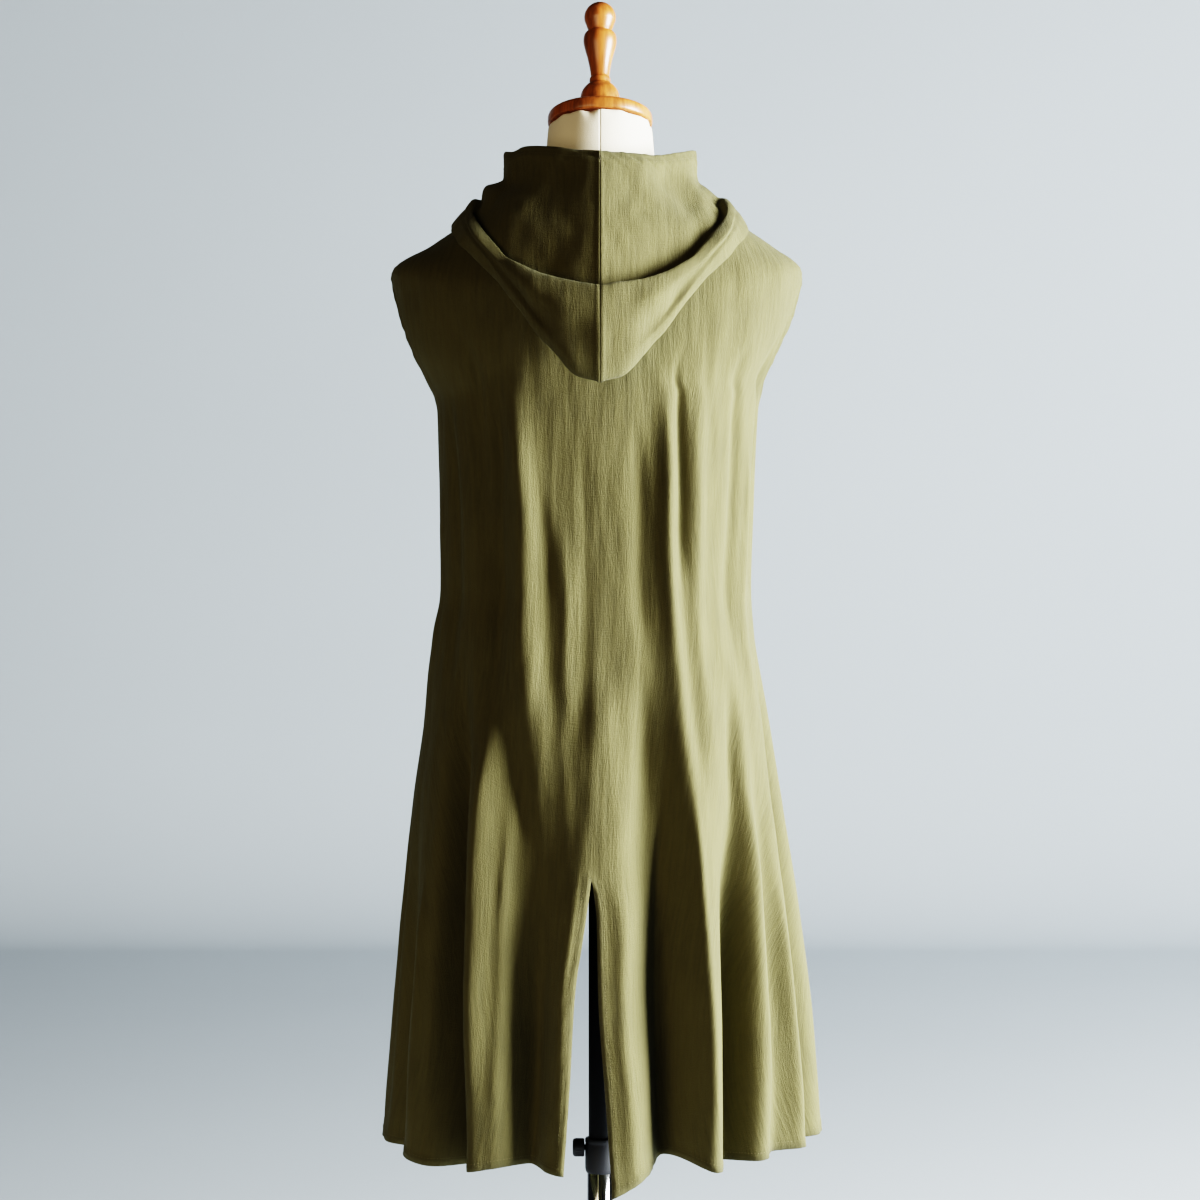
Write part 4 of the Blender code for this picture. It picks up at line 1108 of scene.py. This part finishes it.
# ---------------------------------------------------------------- turned and smooth pieces
Ring = namedtuple("Ring", "radius height")
FINIAL_PROFILE = (      # heights above the cap's top
    Ring(0.0008, 0.1291), Ring(0.0060, 0.1279), Ring(0.0093, 0.1260), Ring(0.0125, 0.1236),
    Ring(0.0147, 0.1209), Ring(0.0169, 0.1166), Ring(0.0177, 0.1124), Ring(0.0174, 0.1086),
    Ring(0.0170, 0.1068), Ring(0.0164, 0.1060), Ring(0.0163, 0.1052), Ring(0.0156, 0.1034),
    Ring(0.0144, 0.0996), Ring(0.0127, 0.0964), Ring(0.0121, 0.0955), Ring(0.0121, 0.0948),
    Ring(0.0140, 0.0942), Ring(0.0160, 0.0928), Ring(0.0177, 0.0903), Ring(0.0185, 0.0861),
    Ring(0.0184, 0.0809), Ring(0.0166, 0.0732), Ring(0.0141, 0.0648), Ring(0.0121, 0.0563),
    Ring(0.0107, 0.0477), Ring(0.0101, 0.0418), Ring(0.0101, 0.0407), Ring(0.0113, 0.0402),
    Ring(0.0117, 0.0390), Ring(0.0117, 0.0340), Ring(0.0119, 0.0330), Ring(0.0134, 0.0324),
    Ring(0.0152, 0.0310), Ring(0.0169, 0.0290), Ring(0.0194, 0.0256), Ring(0.0210, 0.0222),
    Ring(0.0220, 0.0160), Ring(0.0226, 0.0060), Ring(0.0228, 0.0008), Ring(0.0222, 0.0000),
    Ring(0.0000, 0.0000),
)
CAP_PROFILE = (         # heights above the cap's underside
    Ring(0.0008, 0.0150), Ring(0.0300, 0.0150), Ring(0.0500, 0.0149), Ring(0.0546, 0.0141),
    Ring(0.0570, 0.0118), Ring(0.0578, 0.0080), Ring(0.0577, 0.0030), Ring(0.0570, 0.0005),
    Ring(0.0556, 0.0000), Ring(0.0300, 0.0000), Ring(0.0000, 0.0000),
)
BASE_PROFILE = (
    Ring(0.0008, 0.0300), Ring(0.0230, 0.0300), Ring(0.0262, 0.0294), Ring(0.0280, 0.0280),
    Ring(0.0320, 0.0250), Ring(0.0600, 0.0205), Ring(0.1300, 0.0165), Ring(0.1820, 0.0125),
    Ring(0.1868, 0.0112), Ring(0.1892, 0.0085), Ring(0.1900, 0.0055), Ring(0.1898, 0.0012),
    Ring(0.1880, 0.0000), Ring(0.1200, 0.0000), Ring(0.0000, 0.0000),
)
SOCKET_PROFILE = (
    Ring(0.0443, 0.7947), Ring(0.0450, 0.7939), Ring(0.0450, 0.7904), Ring(0.0440, 0.7891),
    Ring(0.0225, 0.7880), Ring(0.0200, 0.7872), Ring(0.0190, 0.7850), Ring(0.0181, 0.7400),
    Ring(0.0176, 0.7383), Ring(0.0168, 0.7380), Ring(0.0134, 0.7380), Ring(0.0128, 0.7386),
    Ring(0.0128, 0.7947),
)
KNOB_PROFILE = (        # heights outward from the pole's axis
    Ring(0.0008, 0.0301), Ring(0.0070, 0.0300), Ring(0.0088, 0.0293), Ring(0.0098, 0.0279),
    Ring(0.0100, 0.0265), Ring(0.0100, 0.0185), Ring(0.0097, 0.0177), Ring(0.0090, 0.0172),
    Ring(0.0045, 0.0170), Ring(0.0030, 0.0167), Ring(0.0030, 0.0148), Ring(0.0000, 0.0148),
)


def turn_piece(name, profile, segments, hollow=False):
    """Turned piece: a circle extruded and resized from ring to ring, from the top down."""
    first = profile[0]
    bpy.ops.mesh.primitive_circle_add(
        vertices=segments, radius=first.radius, location=(0, 0, first.height),
        fill_type="NOTHING" if hollow else "TRIFAN")
    piece = bpy.context.object
    piece.name = piece.data.name = name
    bpy.ops.object.transform_apply(location=True, rotation=False, scale=False)
    bpy.ops.object.mode_set(mode="EDIT")
    bpy.ops.mesh.select_mode(type="EDGE")
    bpy.ops.mesh.select_all(action="SELECT")
    if not hollow:
        bpy.ops.mesh.region_to_loop()
    rings = list(profile[1:]) + ([first] if hollow else [])
    before = first
    for ring in rings:
        drop = {"value": (0, 0, ring.height - before.height)}
        bpy.ops.mesh.extrude_edges_move(TRANSFORM_OT_translate=drop)
        if ring.radius == 0:
            bpy.ops.mesh.merge(type="CENTER")
        else:
            scale = ring.radius / before.radius
            bpy.ops.transform.resize(
                value=(scale, scale, 1), center_override=(0, 0, ring.height))
        before = ring
    bpy.ops.mesh.select_all(action="SELECT")
    bpy.ops.mesh.remove_doubles(threshold=0.000002)
    bpy.ops.mesh.normals_make_consistent(inside=False)
    bpy.ops.object.mode_set(mode="OBJECT")
    return piece


def refine(piece, levels=1):
    """Round a piece off with a subdivision surface."""
    smooth = piece.modifiers.new("smooth", "SUBSURF")
    smooth.levels = smooth.render_levels = levels
    apply_modifiers(piece)
    piece.data.shade_smooth()
    return piece


def tube_profile(outer, bore, bottom, top, soft=0.0004):
    """Closed profile of a tube with softened ends."""
    return (
        Ring(outer - soft, top), Ring(outer, top - soft), Ring(outer, bottom + soft),
        Ring(outer - soft, bottom), Ring(bore, bottom), Ring(bore, top),
    )


def copy_node(name, finish_name):
    """A merged, free copy of a CAD node, in the frame's own axes."""
    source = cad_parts[name]
    data = source.data.copy()
    data.transform(source.matrix_world)
    data.name = finish_name
    data.materials.clear()
    piece = bpy.data.objects.new(finish_name, data)
    bpy.context.collection.objects.link(piece)
    bpy.ops.object.select_all(action="DESELECT")
    piece.select_set(True)
    bpy.context.view_layer.objects.active = piece
    bpy.ops.object.mode_set(mode="EDIT")
    bpy.ops.mesh.select_all(action="SELECT")
    bpy.ops.mesh.remove_doubles(threshold=0.00002)
    bpy.ops.mesh.tris_convert_to_quads(face_threshold=math.pi, shape_threshold=math.pi)
    bpy.ops.mesh.normals_make_consistent(inside=False)
    bpy.ops.object.mode_set(mode="OBJECT")
    return piece


def settle(piece, matrix):
    """Move a finished piece's mesh to its place, the object staying at the origin."""
    piece.data.transform(matrix)
    piece.data.update()
    return piece


def cut_ribs(piece, ribs):
    """Sink every other face of the knob's grip as a groove between two ribs."""
    mesh = bmesh.new()
    mesh.from_mesh(piece.data)
    step = math.tau / ribs
    for face in mesh.faces:
        middle = face.calc_center_median()
        outside = math.hypot(middle.x, middle.y) > GRIP_RADIUS
        along_grip = abs(middle.z - GRIP_MIDDLE) < GRIP_HALF and outside
        turn = math.atan2(middle.y, middle.x) % step
        face.select_set(along_grip and turn < step / 2)
    mesh.to_mesh(piece.data)
    mesh.free()
    bpy.ops.object.mode_set(mode="EDIT")
    bpy.ops.mesh.select_mode(type="FACE")
    bpy.ops.mesh.inset(thickness=RIB_INSET, depth=RIB_SINK)
    bpy.ops.object.mode_set(mode="OBJECT")
    return piece


# ---------------------------------------------------------------- operators
CAP_Z = 1.5525
CAP_THICKNESS = 0.0153
CAP_TILT = math.radians(11)
BASE_TOP = 0.0303
SLEEVE_RADIUS, SLEEVE_BORE = 0.0140, 0.0128
POLE_RADIUS, POLE_BOTTOM = 0.0125, 0.2100
COLLAR_BOTTOM, COLLAR_TOP = 0.4020, 0.4400
FORM_BOTTOM = 0.7947
KNOB_Z = 0.4290
GRIP_MIDDLE, GRIP_HALF, GRIP_RADIUS = 0.0225, 0.0035, 0.0097
RIB_INSET, RIB_SINK = 0.00018, -0.0006
POLE_WALL = 0.0012
WALL_SIZE, WALL_SHIFT, WALL_FRONT, WALL_BACK = 14, -1.4, -1.0, 5.0
WALL_HEIGHT, COVE_RADIUS, COVE_STEPS = 5, 0.6, 12
EYE_DISTANCE, EYE_Z, VIEW_WIDTH, FILM = 3.0, 1.031, 1.32, 36


class SURCOAT_OT_back(Operator):
    """Make the back panel with its slit, folds and stitching"""

    bl_idname = "surcoat.back"
    bl_label = "Back"

    def execute(self, context):
        sizes = context.scene.surcoat_garment
        make_panel("back", sizes, sizes.columns, sizes.rows)
        return {"FINISHED"}


class SURCOAT_OT_front(Operator):
    """Make the front panel, plainer than the back"""

    bl_idname = "surcoat.front"
    bl_label = "Front"

    def execute(self, context):
        sizes = context.scene.surcoat_garment
        make_panel("front", sizes, int(sizes.columns * 0.65), int(sizes.rows * 0.7))
        return {"FINISHED"}


class SURCOAT_OT_hood(Operator):
    """Make both halves of the hood, lying down on the back"""

    bl_idname = "surcoat.hood"
    bl_label = "Hood"

    def execute(self, context):
        sizes = context.scene.surcoat_garment
        make_hood_half("hood_left", -1, sizes)
        make_hood_half("hood_right", 1, sizes)
        return {"FINISHED"}


class SURCOAT_OT_form(Operator):
    """Make the limbless torso in its cream cover"""

    bl_idname = "surcoat.form"
    bl_label = "Dress form"

    def execute(self, context):
        torso = refine(copy_node("dress_form", "form_cover"), 2)
        hand_over(torso, "form_cover", "form", ("dress_form",))
        return {"FINISHED"}


class SURCOAT_OT_neck_cap(Operator):
    """Turn the wooden neck cap and its finial"""

    bl_idname = "surcoat.neck_cap"
    bl_label = "Neck cap and finial"

    def execute(self, context):
        segments = context.scene.surcoat_stand.segments
        slope = Matrix.Translation((0, 0, CAP_Z)) @ Matrix.Rotation(-CAP_TILT, 4, "X")
        cap = refine(turn_piece("wooden_neck_cap", CAP_PROFILE, segments))
        hand_over(settle(cap, slope), "turned_wood", "form", ("neck_cap",))
        finial = refine(turn_piece("turned_finial", FINIAL_PROFILE, segments))
        top = slope @ Matrix.Translation((0, 0, CAP_THICKNESS))
        hand_over(settle(finial, top), "turned_wood", "form", ("finial",))
        return {"FINISHED"}


class SURCOAT_OT_stand(Operator):
    """Turn the base, the two tubes and the socket under the form"""

    bl_idname = "surcoat.stand"
    bl_label = "Stand"

    def execute(self, context):
        segments = context.scene.surcoat_stand.segments
        base = refine(turn_piece("round_base", BASE_PROFILE, segments))
        hand_over(base, "black_paint", "stand", ("base",))
        sleeve = tube_profile(SLEEVE_RADIUS, SLEEVE_BORE, BASE_TOP, COLLAR_TOP - 0.006)
        lower = turn_piece("chrome_lower_tube", sleeve, segments, hollow=True)
        lower.data.shade_smooth()
        hand_over(lower, "chrome", "stand", ("lower_tube",))
        pole = tube_profile(POLE_RADIUS, POLE_RADIUS - POLE_WALL, POLE_BOTTOM, FORM_BOTTOM)
        upper = turn_piece("black_upper_tube", pole, segments, hollow=True)
        upper.data.shade_smooth()
        hand_over(upper, "black_paint", "pole", ("upper_tube",))
        socket = turn_piece("turned_pole_socket", SOCKET_PROFILE, segments, hollow=True)
        socket.data.shade_smooth()
        hand_over(socket, "black_paint", "pole", ("pole_socket",))
        return {"FINISHED"}


class SURCOAT_OT_clamp(Operator):
    """Turn the clamp collar and its ribbed knob"""

    bl_idname = "surcoat.clamp"
    bl_label = "Clamp"

    def execute(self, context):
        sizes = context.scene.surcoat_stand
        grip = SLEEVE_RADIUS + 0.0003
        rings = (
            Ring(0.0145, COLLAR_TOP), Ring(0.0156, COLLAR_TOP - 0.0003),
            Ring(0.0163, COLLAR_TOP - 0.0012), Ring(0.0163, COLLAR_TOP - 0.0045),
            Ring(0.0158, COLLAR_TOP - 0.0055), Ring(0.0163, COLLAR_TOP - 0.0070),
            Ring(0.0163, COLLAR_BOTTOM + 0.0050), Ring(0.0156, COLLAR_BOTTOM + 0.0015),
            Ring(0.0148, COLLAR_BOTTOM), Ring(grip, COLLAR_BOTTOM),
            Ring(grip, COLLAR_TOP - 0.0057), Ring(SLEEVE_BORE, COLLAR_TOP - 0.0057),
            Ring(SLEEVE_BORE, COLLAR_TOP),
        )
        collar = turn_piece("moulded_clamp_collar", rings, sizes.segments, hollow=True)
        collar.data.shade_smooth()
        hand_over(collar, "black_plastic", "stand", ("clamp_collar",))
        ribs = sizes.knob_ribs
        knob = cut_ribs(turn_piece("ribbed_clamp_knob", KNOB_PROFILE, 2 * ribs), ribs)
        sideways = Matrix.Translation((0, 0, KNOB_Z)) @ Matrix.Rotation(-math.pi / 2, 4, "Y")
        hand_over(settle(knob, sideways), "black_plastic", "knob", ("clamp_knob",))
        return {"FINISHED"}


class SURCOAT_OT_stage(Operator):
    """Set up the pale studio wall and floor, the lights and the camera"""

    bl_idname = "surcoat.stage"
    bl_label = "Stage"

    def execute(self, context):
        scene = context.scene
        bpy.ops.mesh.primitive_plane_add(size=WALL_SIZE, location=(0, WALL_SHIFT, -0.001))
        backdrop = context.object
        backdrop.name = "backdrop"
        bpy.ops.object.transform_apply(location=True)
        mesh = bmesh.new()
        mesh.from_mesh(backdrop.data)
        for face in mesh.faces:
            face.select_set(False)
        for vertex in mesh.verts:
            vertex.co.y = max(vertex.co.y, WALL_FRONT)
            vertex.select_set(vertex.co.y > WALL_BACK)
        mesh.select_flush(True)
        mesh.to_mesh(backdrop.data)
        mesh.free()
        bpy.ops.object.mode_set(mode="EDIT")
        bpy.ops.mesh.select_mode(type="EDGE")
        bpy.ops.mesh.extrude_edges_move(TRANSFORM_OT_translate={"value": (0, 0, WALL_HEIGHT)})
        bpy.ops.object.mode_set(mode="OBJECT")
        bend = backdrop.modifiers.new("cove", "BEVEL")
        bend.width, bend.segments = COVE_RADIUS, COVE_STEPS
        apply_modifiers(backdrop)
        backdrop.data.shade_smooth()
        backdrop.data.materials.append(finish_of("wall"))

        add_light("key", (3.3, -0.92, 1.42), (0, 0, 1.0), 1.7, 460, (0.94, 0.985, 1.0))
        add_light("fill", (-1.9, -3.6, 1.2), (0, 0, 1.1), 2.4, 33, (1.0, 0.85, 0.60))
        add_light("wall light", (4.0, 2.7, 2.6), (2.0, 5.6, 0.9), 2.6, 95, (0.90, 0.96, 1.0))
        sky = bpy.data.worlds.new("studio air")
        sky.use_nodes = True
        air = sky.node_tree.nodes["Background"]
        air.inputs["Color"].default_value = (0.90, 0.92, 1.0, 1)
        air.inputs["Strength"].default_value = 0.012
        scene.world = sky
        scene.view_settings.view_transform = "Filmic"
        scene.view_settings.look = "Very High Contrast"
        scene.view_settings.exposure = 0.6

        view = bpy.data.cameras.new("camera")
        view.sensor_width = FILM
        view.lens = FILM * EYE_DISTANCE / VIEW_WIDTH
        camera = bpy.data.objects.new("camera", view)
        camera.location = (0, -EYE_DISTANCE, EYE_Z)
        camera.rotation_euler = (math.pi / 2, 0, 0)
        context.collection.objects.link(camera)
        bpy.context.scene.camera = camera
        return {"FINISHED"}


def add_light(name, place, target, size, power, colour):
    """Soft area light aimed at a point."""
    data = bpy.data.lights.new(name, "AREA")
    data.size, data.energy, data.color = size, power, colour
    light = bpy.data.objects.new(name, data)
    light.location = place
    aim = Vector(target) - Vector(place)
    light.rotation_euler = aim.to_track_quat("-Z", "Y").to_euler()
    bpy.context.collection.objects.link(light)
    return light


class SURCOAT_PT_panel(Panel):
    """Sizes, colours and buttons in the 3D view's sidebar"""

    bl_label = "Surcoat"
    bl_idname = "SURCOAT_PT_panel"
    bl_space_type = "VIEW_3D"
    bl_region_type = "UI"
    bl_category = "Surcoat"

    def draw(self, context):
        layout = self.layout
        scene = context.scene
        for title, group in (
            ("Garment", scene.surcoat_garment), ("Stand", scene.surcoat_stand),
            ("Colours", scene.surcoat_finishes),
        ):
            box = layout.box()
            box.label(text=title)
            for name in group.__annotations__:
                box.prop(group, name)
        column = layout.column(align=True)
        for operator in BUILD_ORDER:
            column.operator(operator.bl_idname)


BUILD_ORDER = (
    SURCOAT_OT_form, SURCOAT_OT_back, SURCOAT_OT_front, SURCOAT_OT_hood,
    SURCOAT_OT_neck_cap, SURCOAT_OT_stand, SURCOAT_OT_clamp, SURCOAT_OT_stage,
)
CLASSES = (GarmentSizes, Finishes, StandSizes, *BUILD_ORDER, SURCOAT_PT_panel)


def register():
    """Register the classes and give the scene its properties."""
    for cls in CLASSES:
        bpy.utils.register_class(cls)
    bpy.types.Scene.surcoat_garment = PointerProperty(type=GarmentSizes)
    bpy.types.Scene.surcoat_finishes = PointerProperty(type=Finishes)
    bpy.types.Scene.surcoat_stand = PointerProperty(type=StandSizes)


def unregister():
    """Take the properties and classes away again."""
    del bpy.types.Scene.surcoat_stand
    del bpy.types.Scene.surcoat_finishes
    del bpy.types.Scene.surcoat_garment
    for cls in reversed(CLASSES):
        bpy.utils.unregister_class(cls)


def main():
    """Build everything in order."""
    register()
    bpy.ops.object.select_all(action="DESELECT")
    for operator in BUILD_ORDER:
        group, name = operator.bl_idname.split(".")
        getattr(getattr(bpy.ops, group), name)()


if __name__ == "__main__":
    main()
